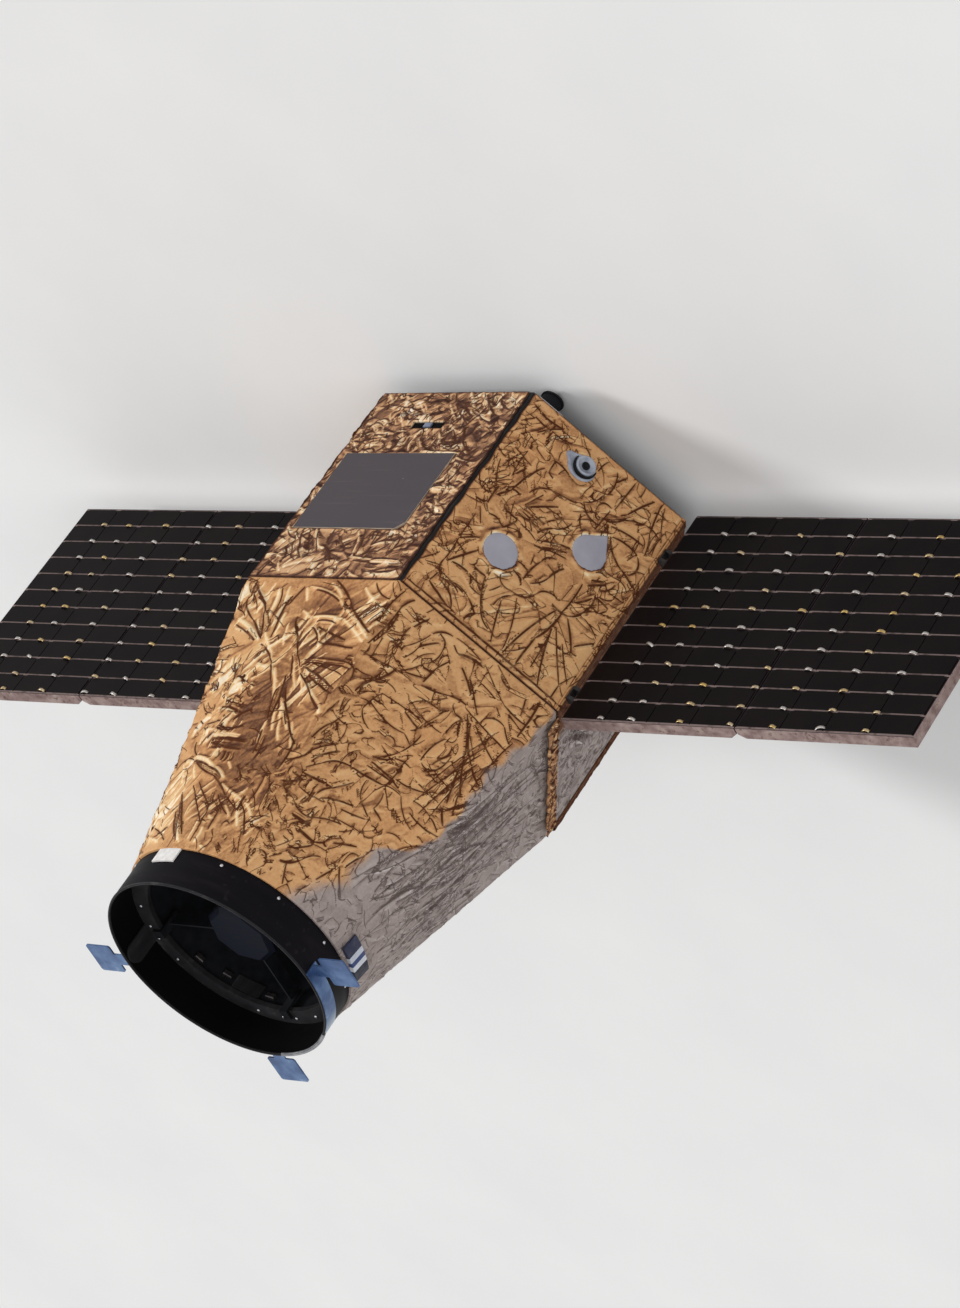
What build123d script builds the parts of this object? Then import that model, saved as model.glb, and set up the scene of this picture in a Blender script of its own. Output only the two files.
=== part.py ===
from build123d import *
import math
import os

# Small Earth-imaging satellite, in millimetres.
# +Z is the telescope's line of sight, and the part stands on its separation ring at Z = 0.
# -Y is the sun side, which the solar cells face. The wings reach out along +X and -X.
# The body is a regular hexagonal prism with corners on +X and -X.

# Bus body
HEX_EDGE = 300.0            # centre to corner of the foil covers, and length of one side
BUS_LENGTH = 407.0
RING_HEIGHT = 50.0          # separation ring, floor to aft deck
COVER_T = 3.0               # foil blanket
PANEL_T = 12.0              # honeycomb side panel
AFT_DECK_T = 16.0
FRONT_DECK_T = 14.0
COVER_CORNER_GAP = 4.0      # each cover stops this far short of its corner
COVER_END_GAP = 1.5         # dark seams at the front and aft ends of the covers
PANEL_JOINT_GAP = 0.2       # mitred joint between side panels

BUS_AFT = RING_HEIGHT
BUS_FRONT = RING_HEIGHT + BUS_LENGTH
HALF_TAN = math.tan(math.radians(30))
HEX_COS = math.cos(math.radians(30))
COVER_OUT = HEX_EDGE * HEX_COS
PANEL_OUT = COVER_OUT - COVER_T
PANEL_IN = PANEL_OUT - PANEL_T

# Face name and the direction of its outward normal in degrees
FACES = [("a", -90), ("b", -150), ("c", 150), ("d", 90), ("e", 30), ("f", -30)]
FACE_ANGLE = dict(FACES)

# Separation ring
RING_OUT = 150.0
RING_WALL = 5.0
RING_FLANGE = 22.0
RING_FLANGE_T = 6.0
RING_BOLTS = 12
RING_BOLT_R = 3.3
RING_BOLT_CIRCLE = 131.0

# Inner mass
AVIONICS_WIDTH = 240.0
AVIONICS_HEIGHT = 150.0

# Corner strips: bent angles over the corners that have one
STRIP_LEG = 17.0
STRIP_T = 1.5
STRIP_CORNERS = [180, 120, 60, 0]
SUN_LEG = 6.0               # narrow leg of a strip on a sun-side cover
SUN_LEGS = [(180, 1), (0, -1)]      # corner and side of each narrow leg
LIP_HEIGHT = 27.0           # front lip of cover c, over the foot of the shroud
LIP_T = 2.0

# Telescope
SHROUD_LENGTH = 474.0
SHROUD_WALL = 3.0
SHROUD_STEP = 2.0           # the shroud's foot is this much inside the covers
SHROUD_PLEATS = 6           # folded strips that each side of the shroud is gathered from
BAFFLE_OUT = 180.0
BAFFLE_WALL = 3.0
BAFFLE_SHOW = 67.0          # baffle ring ahead of the foil
BAFFLE_TUCK = 14.0          # baffle ring under the foil
LEDGE_DEPTH = 60.0
LEDGE_T = 8.0
LEDGE_IN = 150.0
TUBE_OUT = 160.0
TUBE_WALL = 4.0
SEAT_GAP = 0.2
SHROUD_END = BUS_FRONT + SHROUD_LENGTH
RIM_Z = SHROUD_END + BAFFLE_SHOW
LEDGE_TOP = RIM_Z - LEDGE_DEPTH
TUBE_TOP = LEDGE_TOP - LEDGE_T
BAFFLE_IN = BAFFLE_OUT - BAFFLE_WALL
TUBE_IN = TUBE_OUT - TUBE_WALL

# Secondary mirror and its spider
HUB_FLAT = 52.0             # centre to flat of the octagonal hub
HUB_TURN = 11.0             # direction of the hub's first corner in degrees
HUB_LIP = 5.0               # upright band of the hub's front, below its bevel
HUB_CHAMFER = 7.0
VANE_T = 3.0
VANE_HEIGHT = 22.0
VANE_DROP = 18.0            # vanes' upper edge, below the ledge's face
RISER_T = 4.0               # upright plate that carries a vane from its foot
VANE_ANGLES = [0, 90, 180, 270]
FOOT_WIDTH = 14.0
FOOT_T = 5.0
FOOT_REACH = 13.0           # foot's length on the ledge
SECONDARY_R = 42.0
SECONDARY_T = 10.0
VANE_TOP = LEDGE_TOP - VANE_DROP
VANE_LOW = VANE_TOP - VANE_HEIGHT

# Primary mirror
MIRROR_R = 146.0
MIRROR_T = 26.0
MIRROR_SAG = 9.0
MIRROR_HOLE = 34.0
CELL_HEIGHT = 18.0
CELL_WALL = 6.0
SLEEVE_R = 24.0
SLEEVE_LENGTH = 190.0
SLEEVE_WALL = 2.5
SLEEVE_FLANGE_R = 32.0
SLEEVE_FLANGE_T = 4.0

# Ears round the rim: direction in degrees, depth behind the rim, inner radius
EAR_LENGTH = 48.0
EAR_WIDTH = 54.0
EAR_T = 2.5
EAR_NECK = 22.0
EARS = [("ear_left", 0, 2.0, 200.0), ("ear_right", 180, 18.0, 200.0), ("ear_rear", 91, 3.0, 190.0)]
EAR_CORNER = 4.0
STRAP_WIDTH = 34.0
STRAP_T = 3.0
STRAP_SHORT = 4.0           # the strap's round end stops this far below the rim
STRAP_ANGLES = [0, 180]
BAND_START = 140            # polished band round the rim, which ear_right is bent from, in degrees
BAND_END = 183.5
BAND_T = 2.0
BAND_WIDTH = 25.0
BAND_DEPTH = 1.5            # band's upper edge, below the rim
CLIP_ANGLE = -84
CLIP_WIDTH = 44.0
CLIP_LENGTH = 24.0
CLIP_T = 2.5

# Fittings on face a: x along the face, z height in the row
RADIATOR_X = 22.0
RADIATOR_BACK = 186.0       # front of the bus to the radiator's middle
RADIATOR_Z = BUS_FRONT - RADIATOR_BACK
RADIATOR_W = 215.0
RADIATOR_H = 163.0
RADIATOR_T = 5.0
RADIATOR_CORNER = 14.0
SLOT_X = 12.0
SLOT_BACK = 333.0
SLOT_Z = BUS_FRONT - SLOT_BACK
SLOT_W = 62.0
SLOT_H = 13.0
PLUG_W = 14.0
PLUG_H = 9.0

# Fittings on face b
PATCH_R = 29.0
PATCH_T = 2.0
PATCHES = [(53.0, -150.0), (-57.0, -249.0)]
SENSOR_X = 22.0
SENSOR_BACK = 355.0
SENSOR_Z = BUS_FRONT - SENSOR_BACK
SENSOR_PLATE_R = 27.0
SENSOR_PLATE_T = 6.0
SENSOR_BARREL_R = 16.0
SENSOR_BARREL_L = 18.0
SENSOR_BORE_R = 7.0

# Star tracker hood on the aft deck behind face b
HOOD_X = 112.0
HOOD_INSET = 20.0
HOOD_R = 17.0
HOOD_WALL = 1.5
HOOD_LENGTH = 40.0
HOOD_BASE = 46.0
HOOD_BASE_T = 14.0
HOOD_RIM_T = 3.0            # thicker ring round the hood's mouth
HOOD_RIM_R = 19.0

# Wings
ROOT_X = 336.0
WING_WIDTH = 614.0
INNER_WIDTH = 311.0
SEAM_GAP = 2.0
WING_AFT = BUS_AFT + 10.0
CHORD = 430.0
CELL_FACE_Y = -19.2
WING_T = 20.4
CELL_T = 1.2
GROOVE_W = 12.0
GROOVE_D = 8.0
WING_FRONT = WING_AFT + CHORD
BACK_Y = CELL_FACE_Y + WING_T
SUBSTRATE_Y = CELL_FACE_Y + CELL_T
SEAM_X = ROOT_X + INNER_WIDTH + SEAM_GAP / 2
TIP_X = ROOT_X + WING_WIDTH

# Solar cells: rows along the chord, columns along the span
CELL_ROWS = 11
CELL_COLUMNS = 4            # on each of the two panels of a wing
CELL_LINE = 1.6             # bare line between cells
CELL_EDGE = 3.0             # bare border of a panel
CELL_CROP = 6.0

# Hinges, with pins along Z
ROOT_PIN_X = 320.0
ROOT_PIN_Y = 14.0
ROOT_PIN_R = 2.5
ROOT_KNUCKLE_R = 5.5
FOLD_PIN_R = 1.5
FOLD_KNUCKLE_R = 3.2
FOLD_PIN_Y = BACK_Y + 3.0
PIN_CLEARANCE = 0.1
KNUCKLE_H = 12.0
KNUCKLE_GAP = 0.5
LEAF_T = 2.0
LEAF_REACH = 24.0
SADDLE_W = 12.0             # clevis saddle on the bus corner, from SADDLE_LOW up along Y
SADDLE_T = 4.0
SADDLE_LOW = -4.0
LUG_FOOT = 5.0              # lug's width at the saddle
LUG_BLEND = 3.5             # how far a lug's straight sides run past its knuckle's middle
ROOT_PAD_W = 14.0           # pad of a root leaf on the panel's edge
ROOT_PAD_INSET = 1.0
HINGE_STATIONS = [WING_AFT + 70.0, WING_FRONT - 70.0]


def face_plane(name, lift=0.0):
    """Plane on a face of the covers: x along the face, y up the row's Z, z outwards."""
    turn = math.radians(FACE_ANGLE[name])
    normal = (math.cos(turn), math.sin(turn), 0)
    reach = COVER_OUT + lift
    along = (-math.sin(turn), math.cos(turn), 0)
    return Plane(origin=(reach * normal[0], reach * normal[1], 0), x_dir=along, z_dir=normal)


def hexagon(apothem, z):
    """Regular hexagon with corners on +X and -X."""
    return Pos(0, 0, z) * RegularPolygon(apothem / HEX_COS, 6)


def wall_slab(angle, out, inner, gap, z0, z1):
    """One side of a hexagonal wall, mitred at its two corners."""
    half_out = out * HALF_TAN - gap
    half_in = inner * HALF_TAN - gap
    outline = Polyline((out, -half_out), (out, half_out), (inner, half_in), (inner, -half_in), close=True)
    return Rot(0, 0, angle) * Pos(0, 0, z0) * extrude(make_face(outline), z1 - z0)


def ring(out, inner, z0, z1):
    """Plain ring about the Z axis."""
    section = Circle(out) - Circle(inner)
    return Pos(0, 0, z0) * extrude(section, z1 - z0)


def separation_ring():
    """Channel ring with a flange at each end and a circle of bolts in the lower one."""
    wall = ring(RING_OUT, RING_OUT - RING_WALL, 0, RING_HEIGHT)
    inner = RING_OUT - RING_FLANGE - RING_WALL
    low = ring(RING_OUT, inner, 0, RING_FLANGE_T)
    high = ring(RING_OUT, inner, RING_HEIGHT - RING_FLANGE_T, RING_HEIGHT)
    body = wall + low + high
    drill = Cylinder(RING_BOLT_R, RING_FLANGE_T * 3)
    for turn in range(RING_BOLTS):
        body -= Rot(0, 0, turn * 360 / RING_BOLTS) * Pos(RING_BOLT_CIRCLE, 0, 0) * drill
    return body


def deck(z0, thickness):
    return extrude(hexagon(PANEL_OUT, z0), thickness)


def side_panel(angle):
    return wall_slab(angle, PANEL_OUT, PANEL_IN, PANEL_JOINT_GAP, BUS_AFT + AFT_DECK_T, BUS_FRONT - FRONT_DECK_T)


def cover(name):
    """Foil blanket of one face, cut out round what stands on that face."""
    z0 = BUS_AFT + COVER_END_GAP
    z1 = BUS_FRONT - COVER_END_GAP
    body = wall_slab(FACE_ANGLE[name], COVER_OUT, PANEL_OUT, COVER_CORNER_GAP, z0, z1)
    deep = COVER_T * 4
    if name == "a":
        body -= face_plane(name) * Pos(RADIATOR_X, RADIATOR_Z, 0) * extrude(radiator_outline(), deep, both=True)
        body -= face_plane(name) * Pos(SLOT_X, SLOT_Z, 0) * Box(SLOT_W, SLOT_H, deep)
    if name == "b":
        for x, z in PATCHES:
            body -= face_plane(name) * Pos(x, BUS_FRONT + z, 0) * Cylinder(PATCH_R + SEAT_GAP, deep)
        body -= face_plane(name) * Pos(SENSOR_X, SENSOR_Z, 0) * Cylinder(SENSOR_PLATE_R + SEAT_GAP, deep)
    return body


def corner_strip(angle):
    """Bent angle over one corner of the bus."""
    corner = Vector(HEX_EDGE, 0)
    out = HEX_EDGE + STRIP_T / HEX_COS
    legs = []
    for side in (1, -1):
        leg = SUN_LEG if (angle, side) in SUN_LEGS else STRIP_LEG
        run = Vector(-math.sin(math.radians(30)), side * HEX_COS) * leg
        legs.append((corner.X + run.X, run.Y))
        normal = Vector(HEX_COS, side * 0.5) * STRIP_T
        legs.append((corner.X + run.X + normal.X, run.Y + normal.Y))
    outline = Polyline((HEX_EDGE, 0), legs[0], legs[1], (out, 0), legs[3], legs[2], close=True)
    z0 = BUS_AFT + COVER_END_GAP
    z1 = BUS_FRONT - COVER_END_GAP
    return Rot(0, 0, angle) * Pos(0, 0, z0) * extrude(make_face(outline), z1 - z0)


def front_lip():
    """Strip ahead of cover c that closes over the foot of the shroud."""
    half = COVER_OUT * HALF_TAN - STRIP_LEG
    return face_plane("c") * Pos(0, BUS_FRONT + LIP_HEIGHT / 2 - COVER_END_GAP, LIP_T / 2) \
        * Box(2 * half, LIP_HEIGHT, LIP_T)


def gathered_hexagon(corner_radius, z):
    """Hexagon whose sides are each cut into as many equal lengths as the shroud has pleats a side."""
    corners = [Vector(corner_radius, 0).rotate(Axis.Z, 60 * turn) for turn in range(6)]
    points = []
    for turn in range(6):
        step = (corners[(turn + 1) % 6] - corners[turn]) * (1 / SHROUD_PLEATS)
        points += [corners[turn] + step * pleat for pleat in range(SHROUD_PLEATS)]
    return Pos(0, 0, z) * make_face(Polyline(*points, close=True))


def shroud_form(foot_radius, end_radius, low, high):
    """Flat pleats from a hexagon to a many-sided ring that is end_radius to its flats."""
    sides = 6 * SHROUD_PLEATS
    end = Pos(0, 0, high) * RegularPolygon(end_radius / math.cos(math.pi / sides), sides)
    return loft([gathered_hexagon(foot_radius, low), end], ruled=True)


def shroud():
    """Foil tent over the telescope: six facets that run from the bus sides into a round end."""
    foot = HEX_EDGE - SHROUD_STEP
    end = BAFFLE_OUT + SEAT_GAP + SHROUD_WALL
    outer = shroud_form(foot, end, BUS_FRONT, SHROUD_END)
    inner = shroud_form(foot - SHROUD_WALL / HEX_COS, end - SHROUD_WALL, BUS_FRONT, SHROUD_END)
    return outer - inner


def primary_mirror():
    """Disc with a dished front and a hole on the axis."""
    base = BUS_FRONT + CELL_HEIGHT / 3
    body = Pos(0, 0, base + MIRROR_T / 2) * Cylinder(MIRROR_R, MIRROR_T)
    sphere_r = (MIRROR_R ** 2 + MIRROR_SAG ** 2) / (2 * MIRROR_SAG)
    body -= Pos(0, 0, base + MIRROR_T - MIRROR_SAG + sphere_r) * Sphere(sphere_r)
    return body - Pos(0, 0, base) * Cylinder(MIRROR_HOLE, MIRROR_T * 3)


def mirror_cell():
    """Cup under the primary mirror, with a floor and a rim round its edge."""
    floor = ring(MIRROR_R + CELL_WALL + SEAT_GAP, MIRROR_HOLE, BUS_FRONT, BUS_FRONT + CELL_HEIGHT / 3)
    rim = ring(MIRROR_R + CELL_WALL + SEAT_GAP, MIRROR_R + SEAT_GAP, BUS_FRONT, BUS_FRONT + CELL_HEIGHT)
    return floor + rim


def central_baffle():
    """Sleeve that stands on the front deck through the mirror's hole, with a flange at its foot."""
    sleeve = ring(SLEEVE_R, SLEEVE_R - SLEEVE_WALL, BUS_FRONT, BUS_FRONT + SLEEVE_LENGTH)
    flange = ring(SLEEVE_FLANGE_R, SLEEVE_R - SLEEVE_WALL, BUS_FRONT, BUS_FRONT + SLEEVE_FLANGE_T)
    return sleeve + flange


def octagon(z):
    return Pos(0, 0, z) * Rot(0, 0, HUB_TURN) * RegularPolygon(HUB_FLAT / math.cos(math.pi / 8), 8)


def spider():
    """Four thin vanes that meet in an octagonal band. Each hangs by a riser from a foot on the ledge."""
    body = extrude(octagon(VANE_LOW), VANE_HEIGHT)
    vane_end = LEDGE_IN - SEAT_GAP
    foot_top = LEDGE_TOP + FOOT_T
    foot_end = LEDGE_IN + FOOT_REACH
    vane = Pos((HUB_FLAT + vane_end) / 2, 0, VANE_LOW + VANE_HEIGHT / 2) * Box(vane_end - HUB_FLAT, VANE_T, VANE_HEIGHT)
    riser = Pos(vane_end - RISER_T / 2, 0, (VANE_LOW + foot_top) / 2) * Box(RISER_T, FOOT_WIDTH, foot_top - VANE_LOW)
    foot = Pos((vane_end - RISER_T + foot_end) / 2, 0, foot_top - FOOT_T / 2) \
        * Box(foot_end - vane_end + RISER_T, FOOT_WIDTH, FOOT_T)
    for turn in VANE_ANGLES:
        body += Rot(0, 0, turn) * (vane + riser + foot)
    return body


def secondary_hub():
    """Octagonal drum with a bevelled front, on the spider's band."""
    block = extrude(octagon(VANE_TOP), HUB_LIP + HUB_CHAMFER)
    return chamfer(block.faces().sort_by(Axis.Z)[-1].edges(), HUB_CHAMFER)


def secondary_mirror():
    return Pos(0, 0, VANE_LOW - SECONDARY_T / 2) * Cylinder(SECONDARY_R, SECONDARY_T)


def rim_band():
    """Polished band round part of the baffle ring's outside, just behind the rim."""
    inner = BAFFLE_OUT + SEAT_GAP
    high = RIM_Z - BAND_DEPTH
    far = 2 * BAFFLE_OUT
    corners = [(far * math.cos(math.radians(turn)), far * math.sin(math.radians(turn)))
               for turn in (BAND_START, BAND_END)]
    wedge = Pos(0, 0, high - BAND_WIDTH) * extrude(make_face(Polyline((0, 0), *corners, close=True)), BAND_WIDTH)
    return ring(inner + BAND_T, inner, high - BAND_WIDTH, high) & wedge


def ear(angle, depth, inner_r):
    """Flat tab across the line of sight, on a neck that stands off the baffle ring."""
    tab = Pos(inner_r + EAR_LENGTH / 2, 0) * RectangleRounded(EAR_LENGTH, EAR_WIDTH, EAR_CORNER)
    neck_in = BAFFLE_OUT + SEAT_GAP
    neck_len = inner_r + EAR_LENGTH / 2 - neck_in
    neck = Pos(neck_in + neck_len / 2, 0) * Rectangle(neck_len, EAR_NECK)
    top = RIM_Z - depth
    plate = Pos(0, 0, top - EAR_T) * extrude(tab + neck, EAR_T)
    return Rot(0, 0, angle) * plate


def rim_strap(angle):
    """Strap inside the baffle ring, from the ledge to a rounded end at the rim."""
    half = STRAP_WIDTH / 2
    low = LEDGE_TOP
    high = RIM_Z - STRAP_SHORT
    outline = Pos(0, (low + high - half) / 2) * Rectangle(STRAP_WIDTH, high - half - low) \
        + Pos(0, high - half) * Circle(half)
    sheet = Plane(origin=(BAFFLE_IN - STRAP_T * 2, 0, 0), x_dir=(0, 1, 0), z_dir=(1, 0, 0)) * outline
    slab = extrude(sheet, STRAP_T * 3)
    curved = ring(BAFFLE_IN - SEAT_GAP, BAFFLE_IN - SEAT_GAP - STRAP_T, low, high)
    return Rot(0, 0, angle) * (slab & curved)


def top_clip():
    """Bent clip over the aft edge of the baffle ring."""
    z0 = SHROUD_END + SEAT_GAP
    band = ring(BAFFLE_OUT + SEAT_GAP + CLIP_T, BAFFLE_OUT + SEAT_GAP, z0, z0 + CLIP_LENGTH)
    wedge = Rot(0, 0, CLIP_ANGLE) * Pos(BAFFLE_OUT, 0, z0) * Box(2 * CLIP_LENGTH, CLIP_WIDTH, 3 * CLIP_LENGTH)
    return band & wedge


def radiator_outline():
    """Rectangle with one cropped corner."""
    x = RADIATOR_W / 2
    y = RADIATOR_H / 2
    crop = RADIATOR_CORNER
    return make_face(Polyline((-x + crop, y), (x, y), (x, -y), (-x, -y), (-x, y - crop), close=True))


def radiator():
    return face_plane("a", -COVER_T) * Pos(RADIATOR_X, RADIATOR_Z, 0) * extrude(radiator_outline(), RADIATOR_T)


def slot_plug():
    """Connector block at the bottom of the slot in cover a."""
    return face_plane("a", -COVER_T) * Pos(SLOT_X, SLOT_Z, COVER_T / 2) * Box(PLUG_W, PLUG_H, COVER_T)


def patch(x, z):
    return face_plane("b", -COVER_T) * Pos(x, BUS_FRONT + z, (COVER_T + PATCH_T) / 2) \
        * Cylinder(PATCH_R, COVER_T + PATCH_T)


def sensor_plate():
    return face_plane("b", -COVER_T) * Pos(SENSOR_X, SENSOR_Z, SENSOR_PLATE_T / 2) \
        * Cylinder(SENSOR_PLATE_R, SENSOR_PLATE_T)


def sensor_barrel():
    """Short tube on the sensor plate."""
    lift = SENSOR_PLATE_T - COVER_T
    tube = Cylinder(SENSOR_BARREL_R, SENSOR_BARREL_L) - Pos(0, 0, 3) * Cylinder(SENSOR_BORE_R, SENSOR_BARREL_L)
    return face_plane("b", lift) * Pos(SENSOR_X, SENSOR_Z, SENSOR_BARREL_L / 2) * tube


def hood_place():
    """Place of the star tracker under the aft deck, near face b."""
    return face_plane("b", -HOOD_INSET - HOOD_BASE / 2) * Pos(HOOD_X, BUS_AFT, 0) * Rot(90, 0, 0)


def hood_base():
    return hood_place() * Pos(0, 0, HOOD_BASE_T / 2) * Box(HOOD_BASE, HOOD_BASE, HOOD_BASE_T)


def hood():
    """Round hood of the star tracker, with a thicker ring at its mouth."""
    sleeve = ring(HOOD_R, HOOD_R - HOOD_WALL, HOOD_BASE_T, HOOD_LENGTH)
    mouth = ring(HOOD_RIM_R, HOOD_R - HOOD_WALL, HOOD_LENGTH - HOOD_RIM_T, HOOD_LENGTH)
    return hood_place() * (sleeve + mouth)


def panel(x0, x1, seam_side):
    """Honeycomb panel with a bevel along the back of its seam edge."""
    seam = x1 if seam_side > 0 else x0
    other = x0 if seam_side > 0 else x1
    outline = Polyline((other, SUBSTRATE_Y), (seam, SUBSTRATE_Y), (seam, BACK_Y - GROOVE_D),
                       (seam - seam_side * GROOVE_W, BACK_Y), (other, BACK_Y), close=True)
    return Pos(0, 0, WING_AFT) * extrude(make_face(outline), CHORD)


def cells(x0, x1):
    """Rows and columns of cropped solar cells on one panel."""
    pitch_x = (x1 - x0 - 2 * CELL_EDGE + CELL_LINE) / CELL_COLUMNS
    pitch_z = (CHORD - 2 * CELL_EDGE + CELL_LINE) / CELL_ROWS
    w = pitch_x - CELL_LINE
    h = pitch_z - CELL_LINE
    outline = Polyline((CELL_CROP, 0), (w - CELL_CROP, 0), (w, CELL_CROP), (w, h), (0, h), (0, CELL_CROP), close=True)
    sheet = Plane(origin=(0, SUBSTRATE_Y, 0), x_dir=(1, 0, 0), z_dir=(0, -1, 0)) * make_face(outline)
    one = extrude(sheet, CELL_T)
    many = []
    for column in range(CELL_COLUMNS):
        for row in range(CELL_ROWS):
            x = x0 + CELL_EDGE + column * pitch_x
            z = WING_AFT + CELL_EDGE + row * pitch_z
            many.append(Pos(x, 0, z) * one)
    return many


def knuckle(x, y, radius, z0, z1):
    return Pos(x, y, (z0 + z1) / 2) * Cylinder(radius, z1 - z0)


def root_bracket(z):
    """Clevis on the bus corner: a saddle, two lugs and the hinge pin."""
    lug_in = KNUCKLE_H / 2 + KNUCKLE_GAP
    lug_out = lug_in + KNUCKLE_H / 2
    foot_x = HEX_EDGE + STRIP_T / HEX_COS + SEAT_GAP
    body = knuckle(ROOT_PIN_X, ROOT_PIN_Y, ROOT_PIN_R, z - lug_out, z + lug_out)
    for low, high in ((-lug_out, -lug_in), (lug_in, lug_out)):
        arm = Polyline((foot_x, SADDLE_LOW), (foot_x + LUG_FOOT, SADDLE_LOW),
                       (ROOT_PIN_X + LUG_BLEND, ROOT_PIN_Y - LUG_BLEND),
                       (ROOT_PIN_X - LUG_BLEND, ROOT_PIN_Y + LUG_BLEND), (foot_x, SADDLE_LOW + SADDLE_W), close=True)
        body += Pos(0, 0, z + low) * extrude(make_face(arm), high - low)
        body += knuckle(ROOT_PIN_X, ROOT_PIN_Y, ROOT_KNUCKLE_R, z + low, z + high)
    saddle = Pos(foot_x + SADDLE_T / 2, SADDLE_LOW + SADDLE_W / 2, z) * Box(SADDLE_T, SADDLE_W, 2 * lug_out)
    return body + saddle


def root_leaf(z):
    """Knuckle and arm on the inner panel's root edge."""
    half = KNUCKLE_H / 2
    hub = knuckle(ROOT_PIN_X, ROOT_PIN_Y, ROOT_KNUCKLE_R, z - half, z + half)
    pad_top = BACK_Y - ROOT_PAD_INSET
    arm = Polyline((ROOT_PIN_X, ROOT_PIN_Y - LUG_FOOT), (ROOT_X, pad_top - ROOT_PAD_W), (ROOT_X, pad_top),
                   (ROOT_PIN_X + LUG_BLEND, ROOT_PIN_Y + LUG_BLEND), close=True)
    body = hub + Pos(0, 0, z - half) * extrude(make_face(arm), 2 * half)
    pad = Pos(ROOT_X - LEAF_T / 2, pad_top - ROOT_PAD_W / 2, z) * Box(LEAF_T, ROOT_PAD_W, 5 * half)
    return body + pad - knuckle(ROOT_PIN_X, ROOT_PIN_Y, ROOT_PIN_R + PIN_CLEARANCE, z - 2 * half, z + 2 * half)


def fold_leaf(side, z0, z1):
    """Leaf on a panel's back that reaches over the seam groove to the pin."""
    edge = SEAM_X + side * (GROOVE_W + LEAF_REACH)
    near = SEAM_X + side * FOLD_KNUCKLE_R / 2
    x0, x1 = min(edge, near), max(edge, near)
    leaf = Pos((x0 + x1) / 2, BACK_Y + LEAF_T / 2, (z0 + z1) / 2) * Box(x1 - x0, LEAF_T, z1 - z0)
    return leaf + knuckle(SEAM_X, FOLD_PIN_Y, FOLD_KNUCKLE_R, z0, z1)


def fold_inner_leaf(z):
    """Two outer knuckles of a fold hinge with the pin that joins them."""
    half = KNUCKLE_H / 2
    gap = KNUCKLE_GAP
    pin = knuckle(SEAM_X, FOLD_PIN_Y, FOLD_PIN_R, z - 3 * half, z + 3 * half)
    return fold_leaf(-1, z - 3 * half, z - half - gap) + fold_leaf(-1, z + half + gap, z + 3 * half) + pin


def fold_outer_leaf(z):
    """Middle knuckle of a fold hinge."""
    half = KNUCKLE_H / 2
    bore = knuckle(SEAM_X, FOLD_PIN_Y, FOLD_PIN_R + PIN_CLEARANCE, z - 2 * half, z + 2 * half)
    return fold_leaf(1, z - half, z + half) - bore


def mirrored(shape, side):
    """Shape for the wing on +X, or its mirror image for the wing on -X."""
    return shape if side > 0 else mirror(shape, about=Plane.YZ)


def build_bus():
    parts_made = {
        "separation_ring": separation_ring(),
        "aft_deck": deck(BUS_AFT, AFT_DECK_T),
        "front_deck": deck(BUS_FRONT - FRONT_DECK_T, FRONT_DECK_T),
        "avionics_block": Pos(0, 0, BUS_AFT + AFT_DECK_T + AVIONICS_HEIGHT / 2)
        * Box(AVIONICS_WIDTH, AVIONICS_WIDTH, AVIONICS_HEIGHT),
        "corner_strips": Compound(children=[corner_strip(angle) for angle in STRIP_CORNERS]),
        "front_lip": front_lip(),
        "radiator": radiator(),
        "slot_plug": slot_plug(),
        "patch_discs": Compound(children=[patch(x, z) for x, z in PATCHES]),
        "sensor_plate": sensor_plate(),
        "sensor_barrel": sensor_barrel(),
        "tracker_base": hood_base(),
        "tracker_hood": hood(),
    }
    for name, angle in FACES:
        parts_made["side_panel_" + name] = side_panel(angle)
        parts_made["cover_" + name] = cover(name)
    return parts_made


def build_telescope():
    parts_made = {
        "shroud": shroud(),
        "telescope_tube": ring(TUBE_OUT, TUBE_IN, BUS_FRONT, TUBE_TOP),
        "ledge_ring": ring(BAFFLE_IN - SEAT_GAP, LEDGE_IN, TUBE_TOP, LEDGE_TOP),
        "baffle_ring": ring(BAFFLE_OUT, BAFFLE_IN, SHROUD_END - BAFFLE_TUCK, RIM_Z),
        "spider": spider(),
        "secondary_hub": secondary_hub(),
        "secondary_mirror": secondary_mirror(),
        "primary_mirror": primary_mirror(),
        "mirror_cell": mirror_cell(),
        "central_baffle": central_baffle(),
        "rim_straps": Compound(children=[rim_strap(angle) for angle in STRAP_ANGLES]),
        "top_clip": top_clip(),
    }
    for name, angle, depth, inner_r in EARS:
        parts_made[name] = ear(angle, depth, inner_r)
    parts_made["ear_right"] += rim_band()
    return parts_made


def build_wing(label, side):
    inner_end = SEAM_X - SEAM_GAP / 2
    outer_start = SEAM_X + SEAM_GAP / 2
    shapes = {
        "root_brackets": [root_bracket(z) for z in HINGE_STATIONS],
        "inner_panel": [panel(ROOT_X, inner_end, 1)],
        "inner_cells": cells(ROOT_X, inner_end),
        "root_leaves": [root_leaf(z) for z in HINGE_STATIONS],
        "fold_inner_leaves": [fold_inner_leaf(z) for z in HINGE_STATIONS],
        "outer_panel": [panel(outer_start, TIP_X, -1)],
        "outer_cells": cells(outer_start, TIP_X),
        "fold_outer_leaves": [fold_outer_leaf(z) for z in HINGE_STATIONS],
    }
    made = {}
    for name, solids in shapes.items():
        placed = [mirrored(solid, side) for solid in solids]
        made[name + "_" + label] = placed[0] if len(placed) == 1 else Compound(children=placed)
    return made


model = {}
model.update(build_bus())
model.update(build_telescope())
model.update(build_wing("left", 1))
model.update(build_wing("right", -1))

os.makedirs("parts", exist_ok=True)
for node, shape in model.items():
    export_step(shape, "parts/" + node + ".step")
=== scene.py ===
import math

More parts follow.
